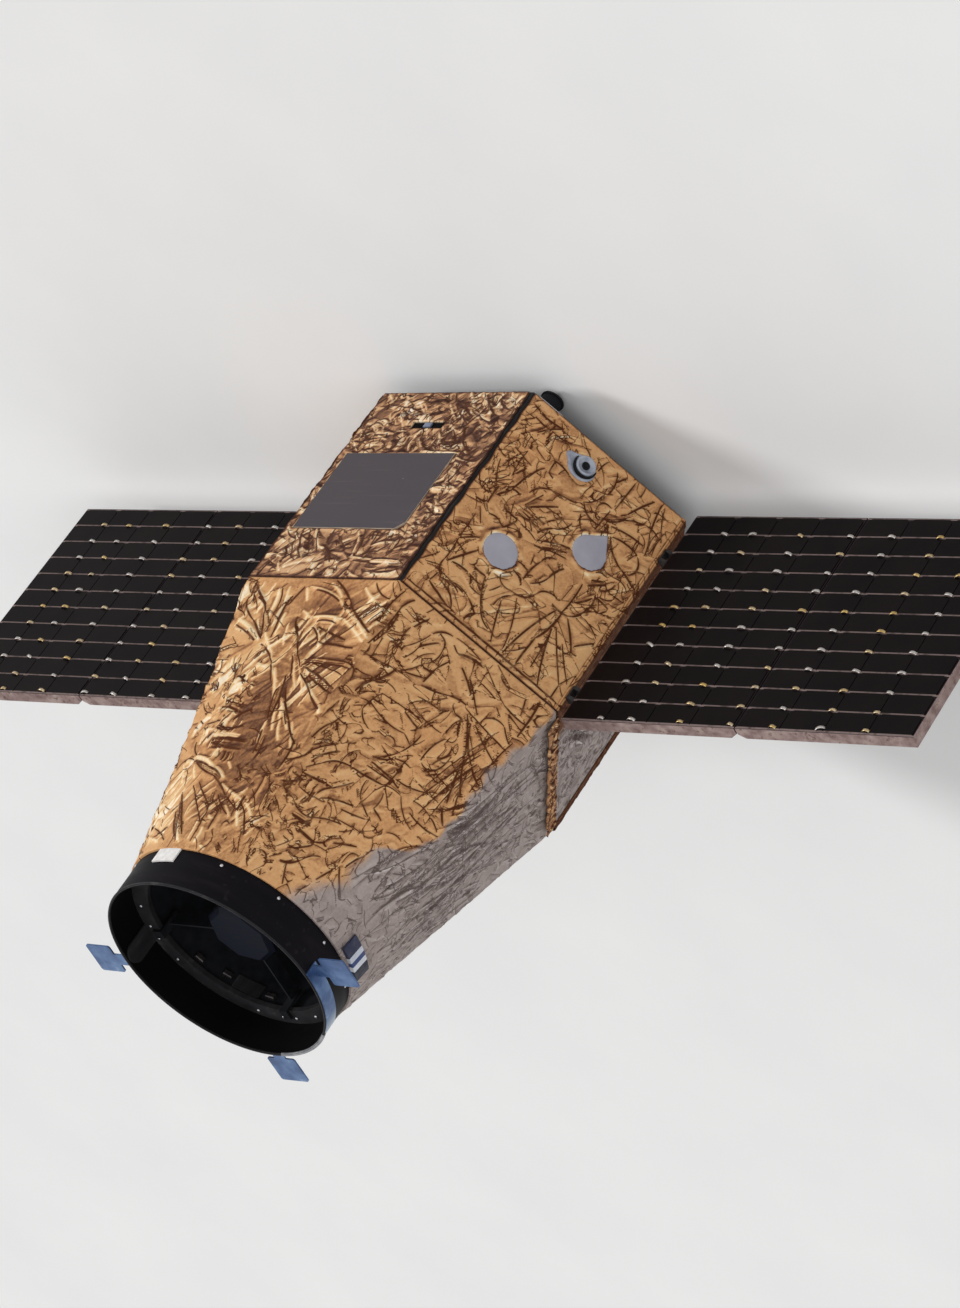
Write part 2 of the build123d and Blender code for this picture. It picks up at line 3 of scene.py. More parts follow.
import bpy
import numpy as np
from mathutils import Matrix, Vector


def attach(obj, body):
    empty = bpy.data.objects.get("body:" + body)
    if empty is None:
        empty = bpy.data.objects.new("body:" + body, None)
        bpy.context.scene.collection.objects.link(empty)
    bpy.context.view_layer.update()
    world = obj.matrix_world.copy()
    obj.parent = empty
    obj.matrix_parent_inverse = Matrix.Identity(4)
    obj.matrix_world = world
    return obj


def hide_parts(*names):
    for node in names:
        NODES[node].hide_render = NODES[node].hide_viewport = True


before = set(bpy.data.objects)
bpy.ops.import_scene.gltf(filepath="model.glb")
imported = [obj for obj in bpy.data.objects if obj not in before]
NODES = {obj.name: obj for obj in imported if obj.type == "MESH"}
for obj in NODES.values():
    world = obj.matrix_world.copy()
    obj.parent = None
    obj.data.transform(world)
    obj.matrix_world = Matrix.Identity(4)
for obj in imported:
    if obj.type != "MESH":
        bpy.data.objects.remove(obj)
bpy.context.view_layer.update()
BUS = "bus"
UP = np.array([0, 0, 1.0])

# Sizes are in millimetres, as in the CAD source, and MM turns them into the frame's metres.
MM = 0.001
HEX_EDGE = 300.0
COVER_OUT = HEX_EDGE * math.cos(math.radians(30))
COVER_HALF = COVER_OUT * math.tan(math.radians(30))
COVER_T = 3.0
CORNER_GAP = 4.0
END_GAP = 1.5
BUS_AFT = 50.0
BUS_FRONT = 457.0
SHROUD_FOOT = 298.0
SHROUD_TIP = 183.2
SHROUD_END = 931.0
SHROUD_MEAN_R = 240.0
SHROUD_T = 3.0
RIM_Z = 998.0
FACE_ANGLES = {"a": -90, "b": -150, "c": 150, "d": 90, "e": 30, "f": -30}
SILVER_FACES = "cd"
STRIP_CORNERS = (180, 120, 60, 0)
STRIP_LEG = 17.0
SUN_LEG = 6.0
SUN_LEGS = ((180, 1), (0, -1))

# Fittings let into the covers, as (x along the face, z) and, for boxes, their two sizes
RADIATOR = (22.0, 271.0, 215.0, 163.0)
SLOT = (12.0, 124.0, 62.0, 13.0)
PATCHES = ((53.0, 307.0), (-57.0, 208.0))
PATCH_R = 29.0
SENSOR = (22.0, 102.0)
SENSOR_PLATE_R = 27.0


def srgb(red, green, blue):
    """Linear colour of an sRGB one given in 0 to 255."""
    shares = (value / 255.0 for value in (red, green, blue))
    return (*(s / 12.92 if s <= 0.04045 else ((s + 0.055) / 1.055) ** 2.4 for s in shares), 1.0)


def linear(colour):
    """A colour for a socket: three sRGB numbers in 0 to 255 become linear ones, and anything else stays."""
    return srgb(*colour) if isinstance(colour, tuple) and len(colour) == 3 else colour


class Finish:
    """A material under construction, with one method for each kind of node that the finishes use."""

    def __init__(self, name):
        self.material = bpy.data.materials.new(name)
        self.material.use_nodes = True
        self.tree = self.material.node_tree
        self.shader = self.tree.nodes["Principled BSDF"]

    def feed(self, node, inputs):
        """Links or sets a node's sockets, given by name or number; None leaves a socket alone."""
        for socket, value in inputs.items():
            if isinstance(value, bpy.types.NodeSocket):
                self.tree.links.new(value, node.inputs[socket])
            elif value is not None:
                node.inputs[socket].default_value = value

    def node(self, kind, inputs, **settings):
        made = self.tree.nodes.new(kind)
        for key, value in settings.items():
            setattr(made, key, value)
        self.feed(made, inputs)
        return made

    def attribute(self, name):
        return self.node("ShaderNodeAttribute", {}, attribute_name=name).outputs["Fac"]

    def place(self, stretch=(1, 1, 1)):
        """Object coordinates, stretched."""
        coords = self.node("ShaderNodeTexCoord", {}).outputs["Object"]
        return self.node("ShaderNodeMapping", {"Vector": coords, "Scale": stretch}).outputs["Vector"]

    def axis(self, letter):
        """One of the object coordinates."""
        coords = self.node("ShaderNodeTexCoord", {}).outputs["Object"]
        return self.node("ShaderNodeSeparateXYZ", {0: coords}).outputs[letter]

    def facing(self, letter):
        """One part of the surface's own normal."""
        normal = self.node("ShaderNodeNewGeometry", {}).outputs["Normal"]
        return self.node("ShaderNodeSeparateXYZ", {0: normal}).outputs[letter]

    def noise(self, scale, detail=3.0, stretch=(1, 1, 1)):
        inputs = {"Vector": self.place(stretch), "Scale": scale, "Detail": detail, "Roughness": 0.55}
        return self.node("ShaderNodeTexNoise", inputs).outputs["Fac"]

    def cells(self, scale, feature="F1"):
        inputs = {"Vector": self.place(), "Scale": scale}
        return self.node("ShaderNodeTexVoronoi", inputs, feature=feature).outputs["Distance"]

    def sum(self, operation, first, second=None):
        return self.node("ShaderNodeMath", {0: first, 1: second}, operation=operation).outputs[0]

    def span(self, value, low, high, to_low=0.0, to_high=1.0):
        """A value's place between low and high, carried to another range and held inside it."""
        inputs = dict(enumerate((value, low, high, to_low, to_high)))
        return self.node("ShaderNodeMapRange", inputs, clamp=True).outputs[0]

    def ramp(self, value, *stops, kind="LINEAR"):
        """Colours along a value, from stops that are a position and an sRGB colour."""
        made = self.node("ShaderNodeValToRGB", {0: value})
        made.color_ramp.interpolation = kind
        band = made.color_ramp.elements
        band.remove(band[1])
        band[0].position = stops[0][0]
        band[0].color = srgb(*stops[0][1:])
        for position, *colour in stops[1:]:
            band.new(position).color = srgb(*colour)
        return made.outputs[0]

    def mix(self, share, first, second, blend="MIX"):
        inputs = {"Factor": share, 6: linear(first), 7: linear(second)}
        return self.node("ShaderNodeMix", inputs, data_type="RGBA", blend_type=blend).outputs[2]

    def bump(self, height, strength, distance, normal=None):
        inputs = {"Height": height, "Strength": strength, "Distance": distance, "Normal": normal}
        return self.node("ShaderNodeBump", inputs).outputs[0]

    def done(self, colour, roughness, metallic=0.0, normal=None, specular=None):
        self.feed(self.shader, {"Base Color": linear(colour), "Roughness": roughness, "Metallic": metallic,
                                "Normal": normal, "Specular IOR Level": specular})
        return self.material

    def worn(self, colour, field, rough, bump, metallic=0.0, specular=None):
        """Ends a finish whose roughness and bump follow one field: roughness at its low and its high values,
        and the bump's strength and height."""
        roughness = self.span(field, 0.3, 0.7, *rough)
        return self.done(colour, roughness, metallic, self.bump(field, *bump), specular)


# Colours of the foil from painted shadow to painted glint, of the painted crease shade along its folds, and
# of black painted gap shade
GOLD = ((0.0, 56, 34, 30), (0.20, 104, 70, 52), (0.36, 164, 118, 80), (0.50, 208, 159, 110),
        (0.66, 220, 178, 128), (0.84, 240, 214, 170), (1.0, 248, 238, 218))
SILVER = ((0.0, 66, 56, 54), (0.25, 114, 102, 98), (0.50, 158, 145, 140), (0.72, 184, 172, 168),
          (1.0, 226, 220, 218))
GOLD_GLOW = (244, 200, 160)
GOLD_CREASE_SHADE = (80, 43, 24)
SILVER_CREASE_SHADE = (96, 84, 80)
GAP_SHADE_BLACK = (8, 7, 8)


def crinkled_foil():
    """Thin metallised film: its tone, painted shade and glint from the relief's slopes, chooses between
    shadow, film and glint; dark lines of painted crease shade, with softer painted shade beside them, run
    along the folds; painted gap shade is black; and a share of silver takes the place of the gold. Deep
    painted shadow is rougher and less metallic, so that it stays dark from every side."""
    f = Finish("crinkled_foil")
    grain = f.noise(260.0)
    tone = f.sum("ADD", f.attribute("tone"), f.span(grain, 0.3, 0.7, -0.05, 0.05))
    glow = f.span(f.noise(9.0, 2.0), 0.35, 0.70, 0.0, 0.16)
    gold = f.mix(glow, f.ramp(tone, *GOLD), GOLD_GLOW, "MULTIPLY")
    film = f.mix(f.attribute("silver"), gold, f.ramp(tone, *SILVER))
    side = f.sum("ABSOLUTE", f.attribute("line_side"))
    # painted crease shade along the lines, with a softer painted shade beside them
    crease_shade = f.sum("ADD", f.span(side, 0.5, 1.0, 0.72, 0.0), f.span(side, 0.9, 2.6, 0.28, 0.0))
    near = f.span(f.attribute("line_far"), 2.6, 3.2, 1.0, 0.0)
    worn = f.span(f.noise(70.0, 2.0), 0.28, 0.5, 0.8, 1.0)
    line = f.sum("MULTIPLY", f.sum("MULTIPLY", crease_shade, near), worn)
    lined = f.mix(line, film, f.mix(f.attribute("silver"), GOLD_CREASE_SHADE, SILVER_CREASE_SHADE))
    colour = f.mix(f.attribute("void"), lined, GAP_SHADE_BLACK)
    wrinkles = f.span(f.cells(420.0, "DISTANCE_TO_EDGE"), 0.0, 0.12)
    normal = f.bump(f.noise(150.0, 4.0), 0.35, 0.0012, f.bump(wrinkles, 0.10, 0.0008))
    deep_shade = f.span(f.attribute("tone"), 0.45, 0.15)
    rough = f.sum("ADD", f.span(grain, 0.3, 0.7, 0.42, 0.55), f.sum("MULTIPLY", deep_shade, 0.42))
    metallic = f.sum("SUBTRACT", 0.1, f.sum("MULTIPLY", deep_shade, 0.1))
    return f.done(colour, rough, metallic, normal, 0.05)


def plain_finish(name, noise, stops, rough, bump, metallic=0.0, specular=None):
    """A finish whose colour, roughness and bump all follow one noise, given as scale, detail and stretch."""
    f = Finish(name)
    field = f.noise(*noise)
    return f.worn(f.ramp(field, *stops), field, rough, bump, metallic, specular)


def pale_paint(name, low, high, scale):
    """Satin paint that drifts between two near colours, with fine orange peel."""
    f = Finish(name)
    drift = f.noise(scale)
    colour = f.ramp(drift, (0.3, *low), (0.7, *high))
    peel = f.bump(f.noise(500.0, 2.0), 0.08, 0.0003)
    return f.done(colour, f.span(drift, 0.3, 0.7, 0.42, 0.55), 0.05, peel)


def machined_metal():
    """Lightly anodised aluminium with fine turning marks and dull patches."""
    f = Finish("machined_metal")
    colour = f.ramp(f.noise(14.0, 4.0), (0.3, 168, 168, 172), (0.7, 198, 198, 202))
    return f.worn(colour, f.noise(30.0, 4.0, (1, 1, 26)), (0.28, 0.46), (0.15, 0.0004), 0.85)


def barrel_black():
    """Satin black skin of the baffle ring, with long smears, pale specks, and a plain black inner side."""
    f = Finish("barrel_black")
    smear = f.noise(7.0, 4.0, (1, 1, 5))
    colour = f.ramp(smear, (0.25, 9, 8, 11), (0.55, 17, 15, 19), (0.8, 33, 28, 33))
    colour = f.mix(f.span(f.noise(90.0, 4.0), 0.62, 0.75, 0.0, 0.25), colour, (70, 62, 62))
    outward = f.sum("ADD", f.sum("MULTIPLY", f.axis("X"), f.facing("X")),
                    f.sum("MULTIPLY", f.axis("Y"), f.facing("Y")))
    colour = f.mix(f.span(outward, 0.0, -0.05), colour, (9, 9, 10))
    return f.worn(colour, smear, (0.44, 0.62), (0.2, 0.001), 0.0, 0.05)


def mirror_glass():
    """Polished mirror coating with a trace of dust."""
    f = Finish("mirror_glass")
    return f.done((226, 229, 233), f.span(f.noise(300.0, 4.0), 0.4, 0.8, 0.02, 0.09), 1.0)


def radiator_paint():
    """Dark grey-violet radiator film with faint drawn streaks, pale specks, and a pale cut edge."""
    f = Finish("radiator_paint")
    streak = f.noise(22.0, 4.0, (0.35, 1, 7))
    colour = f.ramp(streak, (0.25, 58, 51, 56), (0.6, 69, 62, 67), (0.8, 88, 80, 84))
    colour = f.mix(f.span(f.cells(38.0), 0.03, 0.05, 0.5, 0.0), colour, (150, 146, 148))
    edge = f.span(f.sum("ABSOLUTE", f.facing("Y")), 0.4, 0.6, 1.0, 0.0)
    colour = f.mix(edge, colour, (196, 180, 160))
    return f.worn(colour, streak, (0.4, 0.6), (0.12, 0.0006), 0.1, 0.35)


def ear_metal():
    """Polished sheet whose blues are a painted reflection of the sky, from one field of smudges that also
    sets its roughness and bump, with one pale patch of painted reflection.
    """
    f = Finish("ear_metal")
    smudge = f.noise(26.0, 4.0)
    colour = f.ramp(smudge, (0.2, 34, 50, 82), (0.45, 66, 92, 134), (0.6, 96, 122, 160),
                    (0.74, 166, 182, 198))
    # a pale patch of painted reflection
    pale = f.sum("MULTIPLY", f.span(f.axis("Y"), 0.085, 0.118), f.span(f.axis("X"), -0.10, -0.13))
    colour = f.mix(pale, colour, (170, 186, 196))
    return f.worn(colour, smudge, (0.3, 0.5), (0.25, 0.002), 0.45, 0.3)


# Lines between the rows of solar cells: their pitch and a start, and the wing's tip, in metres
ROW_PITCH = 0.038691
ROW_START = 0.0622
TIP_EDGE = 0.9
ROW_GREY = (134, 118, 115)


def row_lines(f, ground):
    """Thin grey lines between the rows of cells, over a dark ground."""
    row = f.sum("PINGPONG", f.sum("SUBTRACT", f.axis("Z"), ROW_START), ROW_PITCH / 2)
    broken = f.span(f.noise(60.0, 2.0, (1, 1, 0.1)), 0.3, 0.5, 0.45, 1.0)
    return f.mix(f.sum("MULTIPLY", f.span(row, 0.0008, 0.0015, 1.0, 0.0), broken), ground, ROW_GREY)


def cell_glass():
    """Near-black solar cells under cover glass, with slow drifts of tint and the row lines."""
    f = Finish("cell_glass")
    ground = f.ramp(f.noise(11.0, 2.0), (0.3, 11, 7, 8), (0.7, 19, 13, 14))
    return f.done(row_lines(f, ground), 0.3, specular=0.04)


def panel_skin():
    """Wing panel: dark film between the cells with thin grey row lines, black woven skin behind, a
    pinkish-grey tape over the long edges and the tip, and dark ends at the hinges."""
    f = Finish("panel_skin")
    drift = f.noise(60.0, 4.0)
    tape = f.ramp(drift, (0.25, 104, 82, 80), (0.5, 140, 120, 116), (0.75, 168, 150, 144))
    tape = f.mix(f.span(f.noise(140.0, 4.0), 0.58, 0.68, 0.0, 0.7), tape, (84, 58, 52))
    inside = f.span(f.sum("ABSOLUTE", f.axis("X")), TIP_EDGE, TIP_EDGE + 0.01, 1.0, 0.0)
    hinge_end = f.sum("MULTIPLY", f.span(f.sum("ABSOLUTE", f.facing("X")), 0.4, 0.6), inside)
    tape = f.mix(hinge_end, tape, (26, 20, 22))
    weave = f.sum("ADD", f.sum("PINGPONG", f.axis("X"), 0.003), f.sum("PINGPONG", f.axis("Z"), 0.003))
    cloth = f.ramp(f.span(weave, 0.0, 0.006), (0.0, 22, 22, 24), (1.0, 44, 44, 48))
    flat = f.facing("Y")
    colour = f.mix(f.span(flat, 0.3, 0.6), tape, cloth)
    colour = f.mix(f.span(flat, -0.6, -0.9), colour, row_lines(f, (30, 23, 25)))
    return f.done(colour, 0.45, 0.0, f.bump(drift, 0.1, 0.0006), 0.06)


def tag_film():
    """Striped film tag: bands of dark blue, pale blue and white along the piece's own band attribute."""
    f = Finish("tag_film")
    stripes = f.ramp(f.attribute("band"), (0.0, 20, 24, 44), (0.30, 214, 218, 226), (0.44, 40, 62, 118),
                     (0.56, 206, 212, 224), (0.70, 26, 34, 66), kind="CONSTANT")
    smudge = f.noise(90.0)
    colour = f.mix(f.span(smudge, 0.3, 0.7, 0.0, 0.25), stripes, (120, 118, 124))
    return f.done(colour, 0.45, 0.0, f.bump(smudge, 0.2, 0.0008), 0.2)


def interconnect_metal():
    """Silver and gold-plated interconnect loops, by the piece's own gilt attribute."""
    f = Finish("interconnect_metal")
    worn = f.noise(400.0, 2.0)
    silver = f.ramp(worn, (0.3, 150, 144, 140), (0.7, 206, 200, 194))
    gilt = f.ramp(worn, (0.3, 150, 118, 58), (0.7, 214, 184, 112))
    return f.done(f.mix(f.attribute("gilt"), silver, gilt), 0.34, 0.6)


FOIL = crinkled_foil()
METAL = machined_metal()
BLACK = plain_finish("inner_black", (60.0, 5.0), ((0.3, 17, 18, 20), (0.7, 28, 29, 32)),
                     (0.55, 0.75), (0.2, 0.0004), 0.0, 0.12)
BARREL = barrel_black()
LEDGE = plain_finish("ledge_metal", (45.0, 5.0, (1, 1, 0.3)),
                     ((0.3, 28, 28, 30), (0.6, 42, 42, 44), (0.8, 76, 75, 75)),
                     (0.55, 0.55), (0.1, 0.0004), 0.15, 0.15)
# the hub's dark blue is a painted reflection of the sky
HUB = plain_finish("hub_sky_reflection", (40.0, 3.0, (1, 9, 1)), ((0.3, 7, 9, 18), (0.7, 14, 18, 31)),
                   (0.46, 0.6), (0.1, 0.0003), 0.0, 0.06)
MIRROR = mirror_glass()
RADIATOR_PAINT = radiator_paint()
PATCH_PAINT = pale_paint("patch_paint", (150, 148, 160), (166, 165, 176), 24.0)
SENSOR_PAINT = pale_paint("sensor_paint", (134, 140, 156), (178, 184, 196), 60.0)
PLUG_PAINT = pale_paint("plug_paint", (96, 106, 128), (124, 134, 154), 90.0)
TAPE = pale_paint("white_tape", (214, 210, 206), (240, 238, 236), 120.0)
EAR = ear_metal()
CELL = cell_glass()
PANEL = panel_skin()
SIDE = plain_finish("side_film", (40.0, 3.0), ((0.3, 12, 10, 10), (0.7, 26, 20, 18)),
                    (0.5, 0.5), (0.2, 0.001), 0.0, 0.25)
LOOP = interconnect_metal()
HINGE = plain_finish("hinge_metal", (50.0, 4.0),
                     ((0.3, 40, 37, 38), (0.62, 58, 54, 54), (0.8, 110, 104, 100)),
                     (0.34, 0.5), (0.1, 0.0004), 0.6)
TAG = tag_film()
WRAP = pale_paint("rim_wrap_paint", (96, 98, 104), (150, 150, 152), 60.0)

# The finish of each CAD node; a name that ends in an underscore stands for one on each wing.
NODE_FINISHES = (
    (METAL, "separation_ring avionics_block tracker_base mirror_cell"),
    (LEDGE, "aft_deck front_deck ledge_ring rim_straps"),
    (BLACK, "tracker_hood telescope_tube spider central_baffle"),
    (MIRROR, "secondary_mirror primary_mirror"),
    (EAR, "ear_left ear_right ear_rear"),
    (SENSOR_PAINT, "sensor_plate sensor_barrel"),
    (RADIATOR_PAINT, "radiator"),
    (PLUG_PAINT, "slot_plug"),
    (BARREL, "baffle_ring"),
    (HUB, "secondary_hub"),
    (TAPE, "top_clip"),
    (SIDE, "side_panel_a side_panel_b side_panel_c side_panel_d side_panel_e side_panel_f"),
    (HINGE, "root_brackets_ root_leaves_ fold_inner_leaves_ fold_outer_leaves_"),
    (PANEL, "inner_panel_ outer_panel_"),
    (CELL, "inner_cells_ outer_cells_"),
)
for finish, names in NODE_FINISHES:
    for name in names.split():
        for node in ([name + "left", name + "right"] if name.endswith("_") else [name]):
            NODES[node].data.materials.clear()
            NODES[node].data.materials.append(finish)


def grid_quads(rows, columns, close_rows=False, close_columns=False):
    """Quads between neighbouring points of a grid that is numbered row by row; a closed direction joins its
    last line to its first."""
    r, c = np.ogrid[:rows - (not close_rows), :columns - (not close_columns)]
    r2 = (r + 1) % rows
    c2 = (c + 1) % columns
    corners = [r * columns + c, r * columns + c2, r2 * columns + c2, r2 * columns + c]
    return np.stack(corners, -1).reshape(-1, 4)


def facing_out(points, quads, caps=()):
    """Quads and caps, turned over if the triple products of the quads' triangles, six times the volume that
    they enclose, add up to less than 0."""
    a, b, c, d = (points[quads[:, k]] for k in range(4))
    if (np.cross(a, b) * c).sum() + (np.cross(a, c) * d).sum() < 0:
        return quads[:, ::-1], [cap[::-1] for cap in caps]
    return quads, caps


def add_piece(name, points, quads, material, body, stands_for=(), caps=(), smooth=True, flat_from=None,
              values=None):
    """A mesh from points in millimetres, quads, and caps that are rings of point numbers. Faces from number
    flat_from on are flat. values are numbers for each point, kept as attributes."""
    points = np.asarray(points, float).reshape(-1, 3)
    quads = np.asarray(quads, np.int64)
    caps = [np.asarray(cap, np.int64) for cap in caps]
    mesh = bpy.data.meshes.new(name)
    mesh.vertices.add(len(points))
    mesh.vertices.foreach_set("co", (points * MM).astype(np.float32).ravel())
    corners = np.concatenate([quads.ravel()] + caps)
    totals = np.concatenate([np.full(len(quads), 4), [len(cap) for cap in caps]]).astype(np.int64)
    mesh.loops.add(len(corners))
    mesh.loops.foreach_set("vertex_index", corners)
    mesh.polygons.add(len(totals))
    mesh.polygons.foreach_set("loop_start", np.concatenate([[0], np.cumsum(totals)[:-1]]))
    mesh.polygons.foreach_set("loop_total", totals)
    rounded = np.full(len(totals), smooth)
    rounded[len(quads) if flat_from is None else flat_from:] = False
    mesh.polygons.foreach_set("use_smooth", rounded)
    for key, numbers in (values or {}).items():
        layer = mesh.attributes.new(key, "FLOAT", "POINT")
        layer.data.foreach_set("value", np.asarray(numbers, np.float32).ravel())
    mesh.validate()
    mesh.update()
    mesh.materials.append(material)
    piece = bpy.data.objects.new(name, mesh)
    bpy.context.scene.collection.objects.link(piece)
    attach(piece, body)
    if stands_for:
        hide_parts(*stands_for)


def foil_values(tone, signed, far, silver=0.0, void=0.0):
    """What each point of foil tells its finish: tone, which is painted shade and glint, signed and unsigned
    distance to the nearest line of painted crease shade in half widths of that line, share of silver, and
    share of black painted gap shade."""
    return {"tone": tone, "line_side": signed, "line_far": far, "silver": np.broadcast_to(silver, tone.shape),
            "void": np.broadcast_to(void, tone.shape)}


def foil_sheet(name, top, base, stands_for, values, curved=False):
    """A thick sheet of foil: the grid of top points, a wall from its border down to the same border of the
    base, and the base as one flat cap, or as strips from its foot to its end if it is curved."""
    rows, columns = top.shape[:2]
    count = rows * columns
    numbers = np.arange(count).reshape(rows, columns)
    rim = np.concatenate([numbers[0, :-1], numbers[:-1, -1], numbers[-1, :0:-1], numbers[:0:-1, 0]])
    points = np.concatenate([top.reshape(-1, 3), base.reshape(-1, 3)[rim]])
    low = count + np.arange(len(rim))
    quads = [grid_quads(rows, columns), np.stack([rim, low, np.roll(low, -1), np.roll(rim, -1)], -1)]
    if curved:
        foot = low[:columns]
        end = low[columns + rows - 2:2 * columns + rows - 2][::-1]
        quads.append(np.stack([end[:-1], end[1:], foot[1:], foot[:-1]], -1))
    spread = {key: np.concatenate([np.ravel(v), np.ravel(v)[rim]]) for key, v in values.items()}
    caps = () if curved else [low[::-1]]
    add_piece(name, points, np.concatenate(quads), FOIL, BUS, [stands_for], caps, True,
              (rows - 1) * (columns - 1), spread)


# Folds. Each row of a fold table is x0, y0, x1, y1, bow, left width, right width, rise, line half width.
FOLD_CHUNK = 24
FOLD_FAR = 6.0
# Painted highlight on the crests: the tone it brings and how much of it
CREST_HIGHLIGHT_TONE = 0.93
CREST_HIGHLIGHT_SHARE = 0.85
TWIN_LOW = 2.6
TWIN_HIGH = 6.5


def fold_rows(rng, x0, y0, x1, y1, wide, rise, line):
    """Fold table for given ends, with strayed bows, widths, rises and lines."""
    count = len(x0)
    length = np.hypot(x1 - x0, y1 - y0)
    bow = length * rng.normal(0, 0.09, count)
    narrow = rng.random(count) < 0.5
    near = wide * rng.uniform(0.25, 0.45, count)
    broad = wide * rng.uniform(0.7, 1.5, count)
    left = np.where(narrow, near, broad)
    right = np.where(narrow, broad, near)
    rises = rise * rng.uniform(0.35, 1.1, count) * rng.choice([-1.0, 1.0], count)
    lines = line * rng.uniform(0.65, 1.35, count)
    return np.stack([x0, y0, x1, y1, bow, left, right, rises, lines], -1)


def fan(rng, x, y, first, last, count, reach, wide, rise, line):
    """Folds that spread from one point, between two headings in degrees."""
    stray = rng.normal(0, abs(last - first) / count / 4, count)
    heading = np.radians(np.linspace(first, last, count) + stray)
    start = rng.uniform(1, 7, count)
    end = reach * rng.uniform(0.55, 1.1, count)
    return fold_rows(rng, x + start * np.cos(heading), y + start * np.sin(heading), x + end * np.cos(heading),
                     y + end * np.sin(heading), wide, rise, line)


def bundle(rng, x, y, heading, count, spacing, length, wide, rise, line):
    """Nearly parallel folds side by side."""
    turn = math.radians(heading) + rng.normal(0, 0.10, count)
    beside = spacing * (np.arange(count) - count / 2 + rng.normal(0, 0.25, count))
    along = length * rng.normal(0, 0.18, count)
    middle_x = x - beside * math.sin(math.radians(heading)) + along * np.cos(turn)
    middle_y = y + beside * math.cos(math.radians(heading)) + along * np.sin(turn)
    reach = length * rng.uniform(0.25, 0.6, count)
    dx, dy = reach * np.cos(turn), reach * np.sin(turn)
    return fold_rows(rng, middle_x - dx, middle_y - dy, middle_x + dx, middle_y + dy, wide, rise, line)


def scatter(rng, box, count, short, long, wide, rise, line):
    """Folds strewn over a box; their heading follows a slow wave over the sheet, with some stray. Each third
    one has a twin beside it."""
    x = rng.uniform(box[0], box[2], count)
    y = rng.uniform(box[1], box[3], count)
    heading = wave_heading(x, y, rng.uniform(0, 2 * math.pi, 3)) + rng.normal(0, 0.35, count)
    reach = np.exp(rng.uniform(math.log(short), math.log(long), count)) / 2
    gap = rng.uniform(TWIN_LOW, TWIN_HIGH, count)
    twin = np.arange(count) % 3 == 0
    x = np.concatenate([x, (x - gap * np.sin(heading))[twin]])
    y = np.concatenate([y, (y + gap * np.cos(heading))[twin]])
    reach = np.concatenate([reach, reach[twin] * rng.uniform(0.6, 1.1, twin.sum())])
    heading = np.concatenate([heading, heading[twin] + rng.normal(0, 0.08, twin.sum())])
    dx, dy = reach * np.cos(heading), reach * np.sin(heading)
    return fold_rows(rng, x - dx, y - dy, x + dx, y + dy, wide, rise, line)


def strewn(rng, rows, across=float):
    """Fold tables from rows of what bundle takes, or of what scatter takes, whose first item is a box. The
    function across turns each place along x into millimetres."""
    tables = []
    for first, *rest in rows:
        if isinstance(first, tuple):
            low, foot, high, end = first
            tables.append(scatter(rng, (across(low), foot, across(high), end), *rest))
        else:
            tables.append(bundle(rng, across(first), *rest))
    return tables


def traced(rng, rows, drawing, line, wide, rise):
    """Folds through three points each, read off a drawing of the face: x0, y0, middle x, middle y, x1,
    y1. A longer row is a chain of such folds, each of which starts where the last one ends. The drawing's own
    x and y zero and its mm a unit turn them into the face's. Crests, with a line below 0, only rise, over
    twice their own width."""
    zero_x, zero_y, unit_x, unit_y = drawing
    folds = [row[start:start + 6] for row in rows for start in range(0, len(row) - 2, 4)]
    x0, y0, xm, ym, x1, y1 = np.array(folds, float).T
    x0, xm, x1 = (zero_x + unit_x * v for v in (x0, xm, x1))
    y0, ym, y1 = (zero_y + unit_y * v for v in (y0, ym, y1))
    dx, dy = x1 - x0, y1 - y0
    length = np.hypot(dx, dy)
    share = np.clip(((xm - x0) * dx + (ym - y0) * dy) / length ** 2, 0.15, 0.85)
    side = ((ym - y0) * dx - (xm - x0) * dy) / length
    table = fold_rows(rng, x0, y0, x1, y1, wide, rise, line)
    table[:, 4] = side / (4 * share * (1 - share))
    if line < 0:
        table[:, 5:7] = 2.2 * np.abs(table[:, 8:9])
        table[:, 7] = np.abs(table[:, 7])
    return table


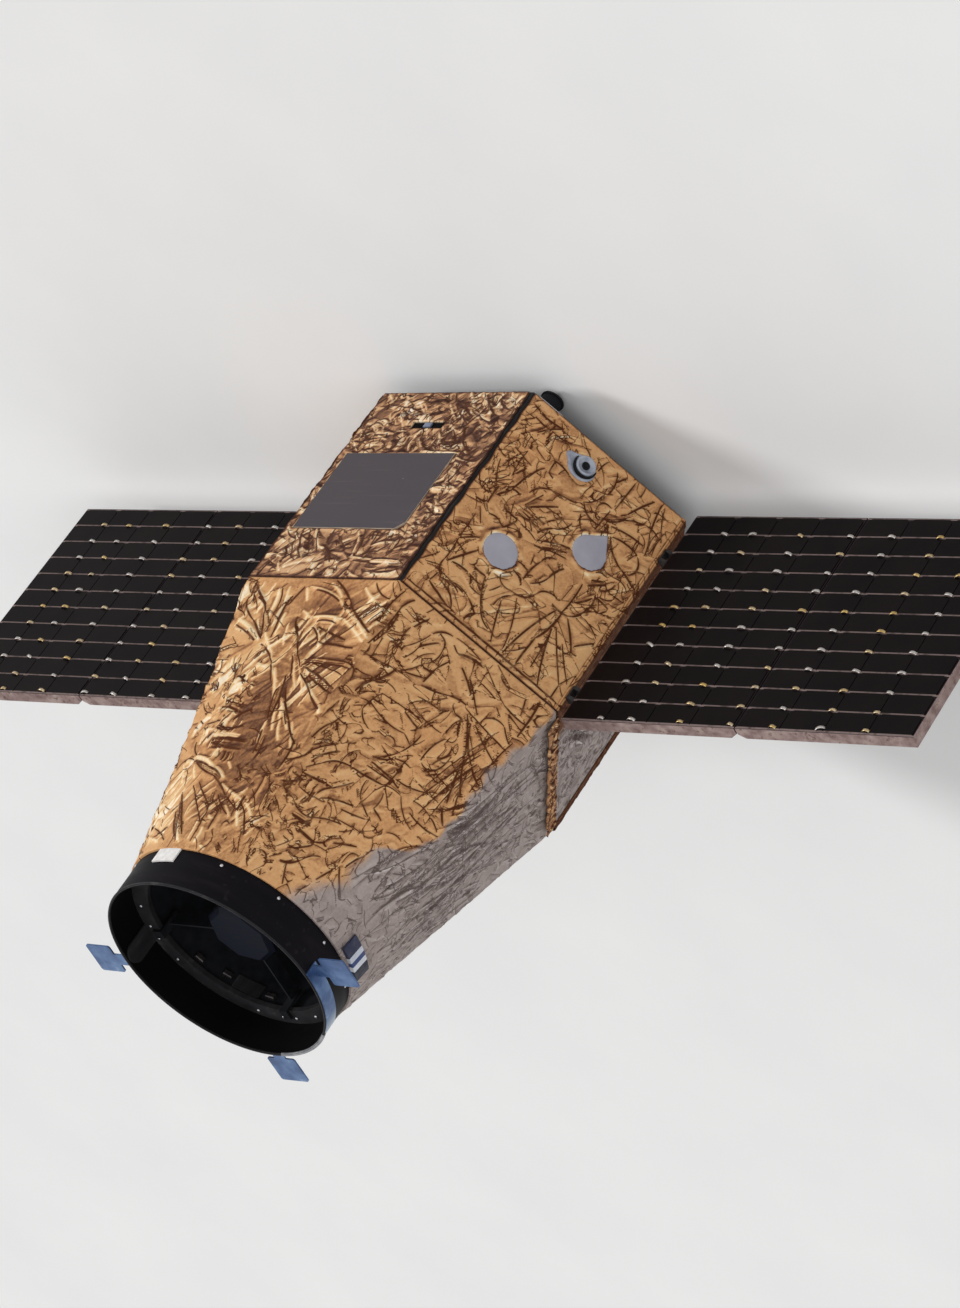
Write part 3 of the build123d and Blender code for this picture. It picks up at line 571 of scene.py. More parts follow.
def fold_field(x, y, folds):
    """Height of a folded sheet, how far each point is from the nearest drawn fold, signed and unsigned, and
    how much it lies on a crest with a painted highlight. A point's share t along a fold is its projection on
    the fold's chord, and its sideways distance d is measured from the chord's parabola of height 4t(1-t)
    times the bow. The sheet rises at the fold by its rise, falls straight to nothing at the fold's left or
    right width, and both are scaled by the root of 4t(1-t). The distance kept is d over the line's half width
    times the fourth root of 4t(1-t), of the fold where it is least. A line's half width below 0 marks a
    crest, which gets a painted highlight instead of a line of painted crease shade."""
    flat_x = x.ravel()[:, None]
    flat_y = y.ravel()[:, None]
    height = np.zeros(len(flat_x))
    crest = np.zeros(len(flat_x))
    best = np.full(len(flat_x), FOLD_FAR)
    signed = np.full(len(flat_x), FOLD_FAR)
    rows = np.arange(len(flat_x))
    for start in range(0, len(folds), FOLD_CHUNK):
        x0, y0, x1, y1, bow, left, right, rise, line = folds[start:start + FOLD_CHUNK].T[:, None, :]
        dx, dy = x1 - x0, y1 - y0
        length = np.hypot(dx, dy)
        t = ((flat_x - x0) * dx + (flat_y - y0) * dy) / length ** 2
        taper = np.sqrt(np.clip(4 * t * (1 - t), 0, 1))
        d = ((flat_y - y0) * dx - (flat_x - x0) * dy) / length - bow * taper ** 2
        ridge = np.clip(1 - np.abs(d) / np.where(d > 0, left, right), 0, 1)
        height += (rise * ridge * taper).sum(1)
        apart = np.abs(d) / (np.maximum(np.abs(line), 0.01) * np.sqrt(taper) + 1e-6)
        crest = np.maximum(crest, (np.clip(1.5 - 1.5 * apart, 0, 1) * (line < 0)).max(1))
        ratio = np.where(line > 0, apart, FOLD_FAR)
        pick = ratio.argmin(1)
        least = ratio[rows, pick]
        closer = least < best
        best = np.where(closer, least, best)
        signed = np.where(closer, np.sign(d[rows, pick]) * least, signed)
    return (field.reshape(x.shape) for field in (height, signed, best, crest))


WAVE_ACROSS = 47.0
WAVE_UP = 56.0
WAVE_SLANT = 31.0


def wave_heading(x, y, phases):
    """A heading in radians that swings slowly over the sheet, as a sum of three sines."""
    a, b, c = phases
    return (1.6 * np.sin(x / WAVE_ACROSS + a) + 1.6 * np.sin(y / WAVE_UP + b)
            + 1.1 * np.sin((x + y) / WAVE_SLANT + c))


SEED_STRETCH = 2.4
EDGE_WEIGHTS = 997
ROOF_REACH = 5.0


def web_seeds(rng, box, size, hubs):
    """Seeds of long cells over a box, as rows of x, y, heading and stretch. Near a hub, given as x, y and
    reach, the cells point at it."""
    count = int((box[2] - box[0]) * (box[3] - box[1]) / size ** 2)
    x = rng.uniform(box[0], box[2], count)
    y = rng.uniform(box[1], box[3], count)
    heading = wave_heading(x, y, rng.uniform(0, 2 * math.pi, 3)) + rng.normal(0, 0.4, count)
    long = SEED_STRETCH * rng.uniform(0.6, 1.4, count)
    for hub_x, hub_y, reach in hubs:
        near = np.hypot(x - hub_x, y - hub_y) < reach
        heading = np.where(near, np.arctan2(y - hub_y, x - hub_x), heading)
        long = np.where(near, SEED_STRETCH * 1.5, long)
    return np.stack([x, y, heading, long], -1)


def web_field(x, y, seeds, rng, line):
    """Cells of a stretched Voronoi web. A seed's distance to a point is the root of its sideways distance
    squared and its lengthways distance over the stretch squared. Half the difference of the two least
    distances, over its own slope, is how far the cell's edge is; it is signed by which of the two seeds has
    the lower number. Gives that distance in mm, its signed and unsigned ratios to a line's half width, which
    varies from edge to edge and is next to nothing for many, and the cell's number."""
    flat_x = x.ravel()[:, None].astype(np.float32)
    flat_y = y.ravel()[:, None].astype(np.float32)
    seed_x, seed_y, heading, stretch = seeds.astype(np.float32).T[:, None, :]
    dx, dy = flat_x - seed_x, flat_y - seed_y
    along = (dx * np.cos(heading) + dy * np.sin(heading)) / stretch
    side = dy * np.cos(heading) - dx * np.sin(heading)
    reach = np.sqrt(along ** 2 + side ** 2)
    rows = np.arange(len(reach))
    first = reach.argmin(1)
    least = reach[rows, first].copy()
    reach[rows, first] = np.inf
    second = reach.argmin(1)
    edge = ((reach[rows, second] - least) / 2).reshape(x.shape)
    sign = np.where(first < second, 1.0, -1.0).reshape(x.shape)
    slope_y, slope_x = np.gradient(sign * edge, y[1, 0] - y[0, 0], x[0, 1] - x[0, 0])
    edge = edge / np.clip(np.hypot(slope_x, slope_y), 0.35, 1.0)
    weights = np.maximum(rng.uniform(-0.9, 1.3, EDGE_WEIGHTS), 0.01)
    ratio = edge / (line * weights[(first + second) % EDGE_WEIGHTS].reshape(x.shape))
    return edge, sign * ratio, ratio, first.reshape(x.shape)


def crumple(x, y, folds, seeds, rng, line, roof):
    """Height, line measures, each cell's own lightness, and crests of a sheet that has both folds and a web
    of cells. A cell is a low roof or hollow, as high as its edge distance up to ROOF_REACH allows."""
    height, signed, far, crest = fold_field(x, y, folds)
    edge, web_signed, web_far, cell = web_field(x, y, seeds, rng, line)
    lift = rng.uniform(-1.0, 1.0, len(seeds))
    shade = rng.normal(0, 1.0, len(seeds))
    height = height + roof * lift[cell] * np.minimum(edge, ROOF_REACH) / ROOF_REACH
    nearer = web_far < far
    signed = np.clip(np.where(nearer, web_signed, signed), -FOLD_FAR, FOLD_FAR)
    far = np.minimum(np.where(nearer, web_far, far), FOLD_FAR)
    return height, signed, far, shade[cell], crest


def lit(tone, crest, patches, x, y):
    """Tone with soft patches of painted light and shade, each a bell of its own reach, and with painted
    highlights on the crests on top.
    """
    for middle_x, middle_y, reach_x, reach_y, offset in patches:
        tone = tone + offset * np.exp(-((x - middle_x) / reach_x) ** 2 - ((y - middle_y) / reach_y) ** 2)
    return np.clip(tone + (CREST_HIGHLIGHT_TONE - tone) * crest * CREST_HIGHLIGHT_SHARE, 0, 1)


def smooth_step(value, low, high):
    t = np.clip((value - low) / (high - low), 0, 1)
    return t * t * (3 - 2 * t)


def slope_tone(height, step_x, step_z, light, contrast):
    """Painted shade and glint, as a tone from 0, shadow, to 1, glint: half plus the contrast times the slope
    towards the light.
    """
    along_z, along_x = np.gradient(height, step_z, step_x)
    return np.clip(0.5 + contrast * (along_x * light[0] + along_z * light[1]), 0, 1)


def face_axes(name):
    """Outward normal and the direction along a face."""
    turn = math.radians(FACE_ANGLES[name])
    return np.array([math.cos(turn), math.sin(turn), 0]), np.array([-math.sin(turn), math.cos(turn), 0])


def in_box(x, z, box):
    """Signed distance to a rectangle given by its centre and its two sizes: below 0 inside."""
    return np.maximum(np.abs(x - box[0]) - box[2] / 2, np.abs(z - box[1]) - box[3] / 2)


def strip_leg(corner, side):
    """How far a corner's strip reaches over the cover on one side of it."""
    return SUN_LEG if (corner, side) in SUN_LEGS else STRIP_LEG


# Folds read off a drawing of each seen face. A drawing is its x zero, y zero and mm a unit along x
# and y.
FACE_B_DRAWING = (0.0, 0.0, 1.0, 1.0)
FACE_B_FOLDS = (
    (-66, 320, -46, 378, -34, 441), (-74, 320, -71, 355, -62, 384, -60, 410, -59, 441),
    (-75, 352, -78, 385, -80, 430), (-78, 346, -102, 382, -130, 421, -130, 435, -130, 449),
    (-76, 358, -86, 400, -104, 446), (-100, 362, -117, 385, -140, 411),
    (-85, 321, -100, 338, -118, 364, -123, 364, -128, 362), (-116, 353, -129, 337, -140, 325),
    (-100, 258, -104, 276, -100, 293, -94, 309, -84, 318, -68, 321, -54, 319), (-75, 258, -76, 288, -73, 322),
    (-99, 266, -91, 281, -80, 293), (-40, 258, -31, 276, -28, 289, -20, 307, -9, 318),
    (2, 320, 1, 300, -5, 276, -10, 262, -24, 254), (9, 273, 7, 282, 5, 291), (25, 302, 14, 301, 2, 305),
    (23, 319, 13, 320, 3, 323), (34, 337, 25, 348, 8, 348, -14, 342, -26, 325, -34, 312, -56, 307),
    (-6, 352, -18, 380, -31, 438), (11, 371, 4, 396, -11, 439), (14, 370, 9, 361, 3, 355),
    (14, 370, 16, 379, 17, 389), (50, 357, 43, 380, 30, 404, 19, 417, 2, 425), (23, 352, 28, 363, 34, 373),
    (115, 284, 115, 310, 115, 335, 113, 360, 114, 380, 111, 400, 102, 409, 85, 404, 69, 409),
    (94, 405, 72, 400, 53, 405, 43, 411, 32, 419, 38, 427, 40, 440),
    (111, 405, 112, 415, 115, 425, 92, 433, 69, 440), (103, 414, 84, 418, 64, 440),
    (118, 340, 104, 346, 91, 349), (89, 312, 101, 322, 114, 336), (116, 270, 108, 282, 101, 294),
    (80, 330, 92, 349, 110, 380), (103, 375, 85, 371, 73, 371, 60, 374, 48, 374), (75, 341, 72, 350, 80, 359),
    (73, 357, 61, 358, 50, 357), (69, 373, 64, 380, 62, 387, 52, 389, 41, 389), (60, 250, 65, 263, 72, 274),
    (-100, 262, -114, 262, -128, 264), (-102, 278, -111, 280, -120, 280, -124, 274, -128, 267),
    (-106, 302, -121, 307, -138, 317), (125, 375, 137, 396, 148, 411), (18, 261, 5, 257, -8, 250),
    (130, 261, 120, 260, 112, 255), (100, 270, 88, 266, 72, 272), (-56, 58, -54, 90, -52, 121),
    (-48, 125, -46, 145, -44, 172), (-96, 61, -83, 86, -72, 112, -68, 117, -64, 121),
    (-74, 118, -65, 134, -50, 146), (-107, 58, -111, 86, -116, 112, -124, 130, -128, 150),
    (-114, 58, -124, 86, -140, 112), (-69, 127, -86, 113, -104, 105, -120, 104, -133, 109),
    (-61, 147, -88, 139, -118, 136), (-72, 160, -100, 154, -120, 157, -130, 172, -124, 195),
    (-69, 161, -83, 178, -111, 195, -126, 200, -140, 206), (-57, 148, -58, 155, -56, 162),
    (-49, 121, -32, 124, -29, 142, -34, 151, -46, 147), (-27, 106, -23, 125, -7, 145, -20, 157, -46, 159),
    (-24, 64, -31, 83, -32, 104), (-41, 62, -36, 71, -32, 80), (-4, 60, 0, 72, 1, 86),
    (1, 157, 20, 161, 41, 166, 57, 176, 68, 196), (48, 181, 55, 198, 63, 218), (19, 181, 40, 200, 61, 221),
    (-13, 164, -18, 175, -28, 187), (-11, 187, -6, 203, 8, 217, 18, 229, 24, 242),
    (52, 248, 36, 248, 20, 253), (19, 252, 1, 240, -14, 230, -22, 227, -31, 225),
    (5, 255, -12, 243, -31, 234), (-4, 252, -20, 246, -34, 243),
    (86, 246, 72, 246, 59, 246, 60, 251, 60, 256), (82, 166, 87, 188, 92, 212, 99, 224, 106, 236),
    (69, 143, 78, 160, 82, 176), (91, 209, 83, 208, 75, 209), (62, 120, 62, 135, 61, 146, 56, 148, 50, 149),
    (66, 123, 48, 122, 33, 125), (80, 70, 95, 84, 110, 105), (125, 84, 112, 86, 98, 87),
    (121, 73, 100, 72, 80, 70), (138, 76, 131, 69, 121, 76), (138, 102, 130, 93, 124, 85),
    (91, 86, 91, 98, 88, 110), (62, 79, 76, 84, 92, 86), (125, 150, 107, 153, 87, 157),
    (105, 139, 106, 165, 103, 192), (91, 164, 96, 174, 100, 185), (130, 164, 122, 171, 117, 183),
    (132, 182, 129, 193, 125, 204), (148, 218, 138, 236, 128, 243, 122, 241, 115, 237),
    (110, 220, 111, 238, 110, 256), (41, 221, 31, 220, 21, 220), (60, 229, 45, 230, 30, 233),
    (-82, 243, -91, 237, -100, 231), (-82, 256, -92, 246, -104, 235), (-100, 247, -110, 240, -116, 222),
    (-81, 228, -89, 223, -98, 221), (-102, 229, -110, 238, -122, 240, -130, 238, -140, 238),
    (-106, 215, -120, 212, -138, 219), (-82, 213, -94, 216, -106, 214), (-144, 447, 0, 446, 144, 447),
)
FACE_A_DRAWING = (148.0, 50.0, -0.2174, 0.2174)
FACE_A_CRESTS = (
    (310, 1400, 370, 1480, 430, 1560, 470, 1590, 510, 1590),
    (690, 1400, 740, 1460, 780, 1530, 790, 1600, 820, 1680), (790, 1670, 880, 1680, 1000, 1690),
    (1000, 1700, 1130, 1695, 1290, 1710), (1000, 1712, 1130, 1715, 1290, 1730),
    (910, 1560, 1000, 1530, 1120, 1530), (1060, 1010, 1180, 980, 1290, 985),
    (1090, 1000, 1200, 1010, 1290, 1010), (1160, 1060, 1200, 1110, 1240, 1150),
    (1100, 680, 1160, 710, 1300, 735), (740, 620, 880, 628, 1080, 638), (970, 200, 1060, 260, 1160, 300),
    (150, 165, 190, 160, 220, 165), (140, 320, 190, 300, 260, 340), (250, 110, 300, 125, 320, 160),
    (400, 190, 450, 220, 520, 280), (820, 10, 880, 90, 940, 170), (700, 130, 780, 220, 860, 300),
    (230, 40, 280, 70, 310, 120), (790, 430, 830, 480, 850, 520), (420, 380, 450, 420, 470, 460),
    (880, 550, 920, 575, 1000, 585), (5, 1660, 100, 1660, 180, 1690), (180, 1720, 210, 1770, 240, 1810),
    (30, 1370, 60, 1410, 100, 1440), (130, 1440, 160, 1460, 200, 1490), (1110, 1280, 1170, 1320, 1290, 1350),
    (1000, 1800, 1100, 1830, 1300, 1800), (60, 520, 110, 570, 160, 610), (250, 460, 300, 480, 350, 500),
    (170, 570, 240, 552, 310, 545), (10, 1000, 40, 1060, 90, 1120), (10, 1190, 40, 1210, 80, 1230),
    (580, 245, 610, 290, 640, 330), (590, 480, 600, 540, 620, 600), (500, 480, 505, 540, 500, 600),
    (860, 1800, 900, 1830, 990, 1860), (540, 1390, 600, 1400, 660, 1395),
    (1000, 1400, 1005, 1440, 1000, 1480), (940, 20, 1010, 100, 1100, 160), (900, 400, 930, 430, 950, 470),
    (60, 10, 110, 60, 140, 90), (990, 600, 1060, 560, 1100, 590),
)
FACE_A_FOLDS = (
    (1100, 720, 1200, 740, 1280, 770), (760, 130, 830, 210, 880, 250), (880, 240, 940, 300, 1000, 350),
    (1040, 250, 1100, 290, 1180, 310), (480, 10, 475, 60, 470, 130), (230, 150, 330, 170, 450, 190),
    (470, 470, 478, 520, 470, 600), (540, 460, 548, 530, 540, 610), (640, 480, 650, 540, 660, 600),
    (680, 480, 730, 560, 790, 600), (870, 420, 868, 480, 880, 560), (1000, 380, 1040, 480, 1100, 560),
    (760, 1400, 810, 1520, 835, 1640), (860, 1410, 868, 1450, 880, 1500), (870, 1635, 940, 1612, 1020, 1605),
    (840, 1705, 930, 1712, 1010, 1722), (1140, 1160, 1200, 1200, 1280, 1250),
    (130, 1560, 180, 1640, 200, 1710), (60, 1420, 110, 1470, 180, 1490), (30, 1330, 50, 1290, 40, 1250),
    (5, 1060, 40, 1110, 80, 1200), (60, 1700, 130, 1740, 180, 1760), (120, 340, 190, 330, 220, 350),
    (270, 580, 300, 600, 320, 625), (310, 510, 350, 530, 380, 560), (1040, 560, 1065, 580, 1040, 605),
    (900, 400, 960, 470, 1000, 540), (1100, 560, 1150, 600, 1180, 640), (260, 1410, 310, 1520, 400, 1640),
    (200, 1410, 250, 1550, 340, 1680), (160, 1430, 190, 1560, 280, 1700), (340, 1400, 400, 1530, 470, 1640),
    (1090, 640, 1085, 655, 1080, 680), (560, 1480, 640, 1540, 700, 1600), (480, 1560, 580, 1640, 640, 1720),
    (1090, 1800, 1180, 1770, 1290, 1775), (130, 130, 150, 100, 200, 60), (820, 100, 900, 200, 1000, 270),
    (1120, 60, 1180, 140, 1290, 200), (1010, 60, 1090, 170, 1200, 260), (1120, 1360, 1200, 1350, 1290, 1370),
    (1130, 1480, 1200, 1470, 1290, 1500),
)
SHROUD_A_DRAWING = (-260.0, 457.0, -0.2439, 0.2439)
SHROUD_A_CRESTS = (
    (455, 240, 510, 268, 565, 305), (565, 285, 680, 283, 790, 287), (570, 292, 680, 292, 790, 295),
    (785, 285, 880, 350, 990, 435), (590, 345, 660, 390, 715, 490),
    (250, 400, 300, 465, 390, 555, 440, 640, 560, 760), (5, 300, 100, 350, 230, 455),
    (5, 312, 100, 365, 230, 465), (5, 370, 80, 392, 150, 405), (90, 110, 150, 200, 200, 330),
    (400, 70, 430, 120, 450, 170), (420, 70, 580, 100, 690, 150, 760, 210, 870, 290),
    (560, 30, 640, 80, 700, 140), (870, 290, 940, 350, 1000, 405), (208, 70, 222, 200, 215, 290),
    (268, 60, 288, 220, 272, 360), (312, 630, 350, 642, 405, 640), (315, 645, 355, 655, 395, 650),
    (195, 760, 250, 790, 310, 825), (350, 760, 362, 790, 382, 810), (235, 1142, 330, 1142, 480, 1145),
    (240, 1155, 330, 1158, 480, 1158), (150, 1298, 280, 1318, 400, 1370), (160, 1306, 290, 1332, 400, 1382),
    (400, 1370, 480, 1400, 550, 1448), (400, 1380, 480, 1415, 540, 1450), (260, 1350, 350, 1390, 450, 1420),
    (190, 1350, 220, 1400, 255, 1450), (650, 860, 700, 930, 730, 1010), (690, 900, 760, 990, 830, 1070),
    (740, 1010, 770, 1090, 810, 1150), (720, 715, 830, 790, 940, 870, 958, 900, 968, 930),
    (680, 620, 760, 670, 860, 700), (640, 1380, 670, 1410, 700, 1440), (560, 1490, 700, 1545, 800, 1570),
    (830, 1580, 890, 1620, 940, 1670), (770, 1590, 810, 1660, 860, 1730), (680, 1620, 720, 1650, 760, 1690),
    (310, 1750, 360, 1820, 420, 1900), (320, 1750, 375, 1820, 440, 1905), (5, 1600, 60, 1640, 110, 1690),
    (10, 1840, 90, 1860, 180, 1890), (590, 1705, 610, 1718, 632, 1722), (650, 1908, 680, 1914, 705, 1925),
    (500, 1330, 530, 1350, 560, 1380), (110, 1090, 160, 1100, 230, 1110), (60, 1340, 100, 1400, 130, 1470),
    (480, 660, 540, 760, 600, 880), (600, 600, 650, 690, 720, 790), (660, 640, 740, 740, 800, 830),
    (140, 300, 180, 360, 240, 440), (330, 250, 340, 330, 330, 420), (400, 330, 420, 420, 450, 500),
    (60, 60, 90, 130, 120, 200), (830, 1010, 880, 1100, 920, 1180), (640, 900, 680, 1000, 720, 1090),
    (820, 60, 890, 130, 990, 200), (40, 700, 70, 740, 60, 800), (120, 820, 190, 880, 280, 900),
    (150, 950, 250, 960, 350, 1000), (640, 1030, 650, 1100, 660, 1180), (505, 1720, 520, 1800, 510, 1880),
    (590, 1780, 600, 1830, 585, 1900),
)
SHROUD_A_FOLDS = (
    (590, 10, 700, 90, 800, 200, 900, 290, 1000, 370), (870, 20, 930, 90, 1000, 130),
    (480, 90, 600, 120, 700, 170), (600, 315, 680, 310, 760, 320), (590, 350, 650, 395, 690, 455),
    (640, 350, 760, 390, 880, 430), (700, 460, 800, 470, 960, 480), (40, 60, 110, 150, 160, 200),
    (5, 150, 60, 260, 110, 310, 170, 370, 240, 450), (80, 150, 130, 180, 180, 260, 200, 330, 240, 430),
    (230, 80, 250, 180, 245, 300), (310, 130, 300, 280, 310, 440), (380, 60, 345, 130, 320, 200),
    (240, 300, 245, 350, 250, 400), (5, 345, 100, 400, 200, 460), (120, 400, 160, 440, 200, 465),
    (250, 480, 330, 530, 400, 590, 450, 660, 500, 760), (470, 340, 540, 460, 600, 560, 640, 600, 665, 640),
    (440, 280, 460, 340, 520, 420), (560, 560, 600, 640, 640, 730), (590, 700, 620, 800, 650, 1000),
    (585, 800, 600, 900, 640, 1020), (650, 790, 700, 880, 800, 1000, 860, 1080, 940, 1150),
    (740, 960, 770, 1000, 800, 1040), (700, 690, 780, 750, 860, 830, 910, 870, 960, 910),
    (700, 600, 800, 620, 980, 660), (690, 640, 800, 680, 980, 760), (760, 690, 860, 740, 980, 790),
    (660, 580, 800, 572, 1000, 580), (680, 610, 830, 600, 1000, 610), (180, 760, 250, 740, 280, 770),
    (270, 860, 290, 872, 312, 880), (110, 1060, 160, 1042, 230, 1035), (240, 1080, 330, 1092, 470, 1070),
    (240, 1100, 350, 1112, 480, 1080), (240, 1172, 380, 1175, 580, 1182), (250, 1182, 380, 1186, 570, 1192),
    (250, 1200, 380, 1232, 560, 1242), (350, 1040, 380, 1010, 480, 960), (90, 1180, 110, 1240, 160, 1280),
    (5, 1370, 60, 1315, 150, 1310), (150, 1320, 260, 1342, 350, 1372), (350, 1375, 450, 1405, 530, 1455),
    (200, 1340, 300, 1392, 450, 1440, 540, 1490, 640, 1560), (330, 1480, 430, 1560, 560, 1650),
    (280, 1500, 400, 1620, 550, 1760), (190, 1540, 300, 1680, 430, 1850), (230, 1620, 320, 1760, 400, 1900),
    (230, 1680, 300, 1790, 370, 1870), (20, 1770, 100, 1800, 200, 1850, 230, 1870, 260, 1885),
    (540, 1560, 560, 1700, 550, 1900), (575, 1560, 640, 1620, 740, 1680), (640, 1560, 720, 1600, 800, 1640),
    (780, 1580, 840, 1620, 900, 1700), (860, 1640, 900, 1700, 940, 1760), (740, 1745, 765, 1722, 800, 1732),
    (650, 1650, 655, 1720, 650, 1800), (920, 1120, 932, 1220, 915, 1330), (610, 1160, 620, 1180, 625, 1205),
    (655, 1100, 665, 1180, 670, 1260), (690, 1120, 702, 1200, 700, 1300), (940, 1400, 935, 1500, 945, 1600),
    (855, 1350, 862, 1450, 850, 1550), (600, 1350, 640, 1380, 700, 1450), (430, 1260, 440, 1290, 420, 1330),
    (470, 1265, 480, 1300, 460, 1340), (510, 1270, 518, 1300, 500, 1330), (370, 1260, 375, 1290, 360, 1310),
    (130, 1380, 160, 1430, 180, 1500), (180, 940, 290, 950, 400, 990), (200, 900, 300, 915, 420, 930),
    (170, 620, 160, 700, 180, 760),
)
SHROUD_B_DRAWING = (-490.0, 457.0, -0.2439, 0.2439)
SHROUD_B_FOLDS = (
    (430, 55, 360, 80, 320, 130, 290, 210, 240, 290, 232, 310, 235, 330),
    (360, 95, 400, 110, 420, 160, 420, 230, 380, 300, 330, 380, 280, 440),
    (385, 140, 330, 200, 300, 250, 290, 300, 260, 360), (455, 92, 480, 110, 500, 120, 540, 97, 670, 85),
    (505, 124, 545, 102, 670, 90), (440, 50, 540, 45, 640, 65),
    (660, 60, 760, 120, 880, 180, 960, 190, 1020, 190), (560, 170, 640, 220, 700, 270),
    (640, 190, 740, 280, 800, 340), (490, 190, 465, 240, 450, 280, 440, 340, 432, 400),
    (430, 420, 540, 390, 600, 360, 660, 340, 720, 335), (450, 490, 560, 470, 620, 470, 640, 450, 655, 430),
    (720, 350, 860, 370, 1010, 382), (760, 358, 900, 375, 1040, 390),
    (750, 370, 820, 470, 890, 580, 940, 670, 1030, 790), (800, 400, 850, 500, 960, 600, 1000, 632, 1060, 660),
    (820, 390, 930, 450, 1060, 500), (840, 330, 900, 280, 950, 280, 990, 320, 1030, 350),
    (650, 380, 670, 402, 700, 420), (700, 425, 730, 420, 760, 430),
    (745, 430, 760, 480, 790, 520, 790, 560, 740, 580, 710, 650, 700, 790), (450, 540, 560, 570, 700, 570),
    (60, 480, 150, 470, 260, 440), (270, 430, 220, 540, 190, 590, 160, 640, 140, 700),
    (210, 500, 190, 570, 150, 650), (270, 610, 360, 602, 480, 592, 520, 592, 570, 602),
    (440, 610, 500, 628, 570, 640), (270, 620, 250, 670, 230, 760, 270, 810, 310, 830),
    (240, 690, 330, 722, 520, 720, 570, 742, 600, 760), (610, 660, 600, 740, 570, 820, 530, 880, 440, 960),
    (580, 600, 570, 640, 540, 680), (435, 800, 465, 785, 520, 820),
    (440, 950, 520, 920, 560, 880, 620, 860, 680, 860), (650, 970, 760, 950, 850, 910, 900, 906, 940, 900),
    (740, 830, 800, 780, 830, 640), (800, 770, 880, 790, 960, 780), (710, 790, 750, 800, 800, 770),
    (830, 630, 790, 700, 770, 760), (800, 590, 812, 640, 780, 700), (900, 620, 940, 740, 990, 870),
    (960, 640, 1000, 760, 1060, 900), (820, 1000, 860, 990, 960, 1000, 1010, 1012, 1060, 1040),
    (440, 1020, 560, 1010, 660, 1000), (450, 985, 560, 985, 700, 1005),
    (600, 1050, 680, 1030, 740, 1030, 800, 1090, 930, 1140), (380, 1085, 440, 1080, 600, 1052),
    (380, 1085, 290, 1100, 200, 1170, 160, 1210, 130, 1240), (230, 1015, 160, 1080, 90, 1170),
    (260, 1050, 190, 1110, 140, 1200), (130, 930, 100, 980, 70, 1080),
    (640, 1090, 652, 1140, 645, 1200, 700, 1212, 740, 1225),
    (500, 1090, 510, 1160, 560, 1220, 600, 1240, 650, 1260), (480, 1170, 500, 1190, 520, 1210),
    (440, 1150, 390, 1210, 340, 1260, 300, 1300, 280, 1340), (130, 1280, 200, 1270, 290, 1260),
    (70, 1310, 110, 1310, 155, 1320, 150, 1340, 155, 1362, 220, 1370, 280, 1370),
    (280, 1362, 320, 1360, 360, 1350), (310, 1350, 420, 1300, 530, 1270),
    (470, 1330, 560, 1310, 650, 1280, 668, 1265, 650, 1250),
    (450, 1400, 560, 1380, 690, 1360, 760, 1335, 770, 1300, 730, 1282, 700, 1290),
    (760, 1340, 800, 1380, 800, 1450, 770, 1500, 740, 1590), (810, 1260, 840, 1240, 930, 1230),
    (330, 1480, 430, 1430, 540, 1400), (170, 1440, 230, 1475, 330, 1480), (210, 1520, 290, 1520, 370, 1520),
    (215, 1526, 290, 1526, 365, 1526), (560, 1470, 530, 1500, 510, 1550, 525, 1562, 545, 1562),
    (560, 1520, 640, 1480, 720, 1440), (310, 1572, 380, 1580, 460, 1582), (310, 1580, 380, 1588, 460, 1588),
    (460, 1580, 500, 1560, 520, 1540), (460, 1600, 420, 1640, 360, 1680, 340, 1692, 320, 1700),
    (560, 1630, 500, 1660, 450, 1720, 390, 1770, 320, 1790), (445, 1728, 390, 1778, 320, 1798),
    (630, 1620, 670, 1615, 700, 1640), (680, 1640, 650, 1700, 620, 1760), (700, 1600, 780, 1680, 850, 1730),
    (590, 1820, 575, 1870, 570, 1910), (380, 1790, 410, 1850, 440, 1900), (150, 1800, 200, 1800, 250, 1870),
    (100, 20, 70, 150, 65, 280), (120, 110, 110, 250, 70, 430), (130, 160, 125, 260, 90, 400),
    (160, 30, 130, 90, 120, 130), (270, 60, 240, 120, 220, 170), (210, 180, 200, 250, 210, 310),
    (160, 320, 190, 315, 230, 320), (310, 420, 360, 400, 430, 370), (380, 330, 400, 320, 440, 320),
    (1000, 10, 1020, 150, 1030, 280), (940, 60, 960, 110, 975, 170), (760, 40, 800, 70, 850, 80),
    (980, 905, 1010, 940, 1060, 990), (850, 1070, 930, 1080, 1040, 1070), (60, 1400, 120, 1430, 170, 1440),
)

# Where the painted light on the relief comes from, for its painted shade and glint: along a sheet and up it
SUN_LIGHT = (0.55, -0.83)
HIGH_LIGHT = (0.75, -0.65)
LOW_LIGHT = (0.7, -0.7)

# Soft patches of painted light and shade: middle x, middle y, reach along x and y, and tone
FACE_PATCHES = {
    "a": ((30, 410, 40, 32, -0.13), (0, 75, 34, 26, -0.08), (-110, 395, 30, 9, -0.16),
          (112, 145, 24, 18, -0.08), (-5, 160, 40, 20, -0.10), (60, 440, 90, 12, 0.08),
          (-118, 270, 26, 100, -0.12)),
    "b": ((-60, 130, 60, 50, 0.05), (50, 390, 80, 40, 0.06), (0, 275, 90, 20, -0.05),
          (95, 190, 40, 80, -0.04), (-110, 400, 40, 60, 0.05), (-100, 250, 40, 40, -0.03)),
}
SHROUD_PATCHES = (
    (-400, 680, 85, 240, -0.24), (-285, 860, 42, 55, 0.17), (-300, 640, 45, 70, 0.05),
    (-455, 800, 48, 110, -0.08), (-425, 500, 40, 16, -0.16), (-470, 602, 40, 10, -0.16),
    (-360, 690, 34, 40, -0.05), (-350, 752, 48, 8, -0.2), (-500, 690, 12, 240, -0.05),
)

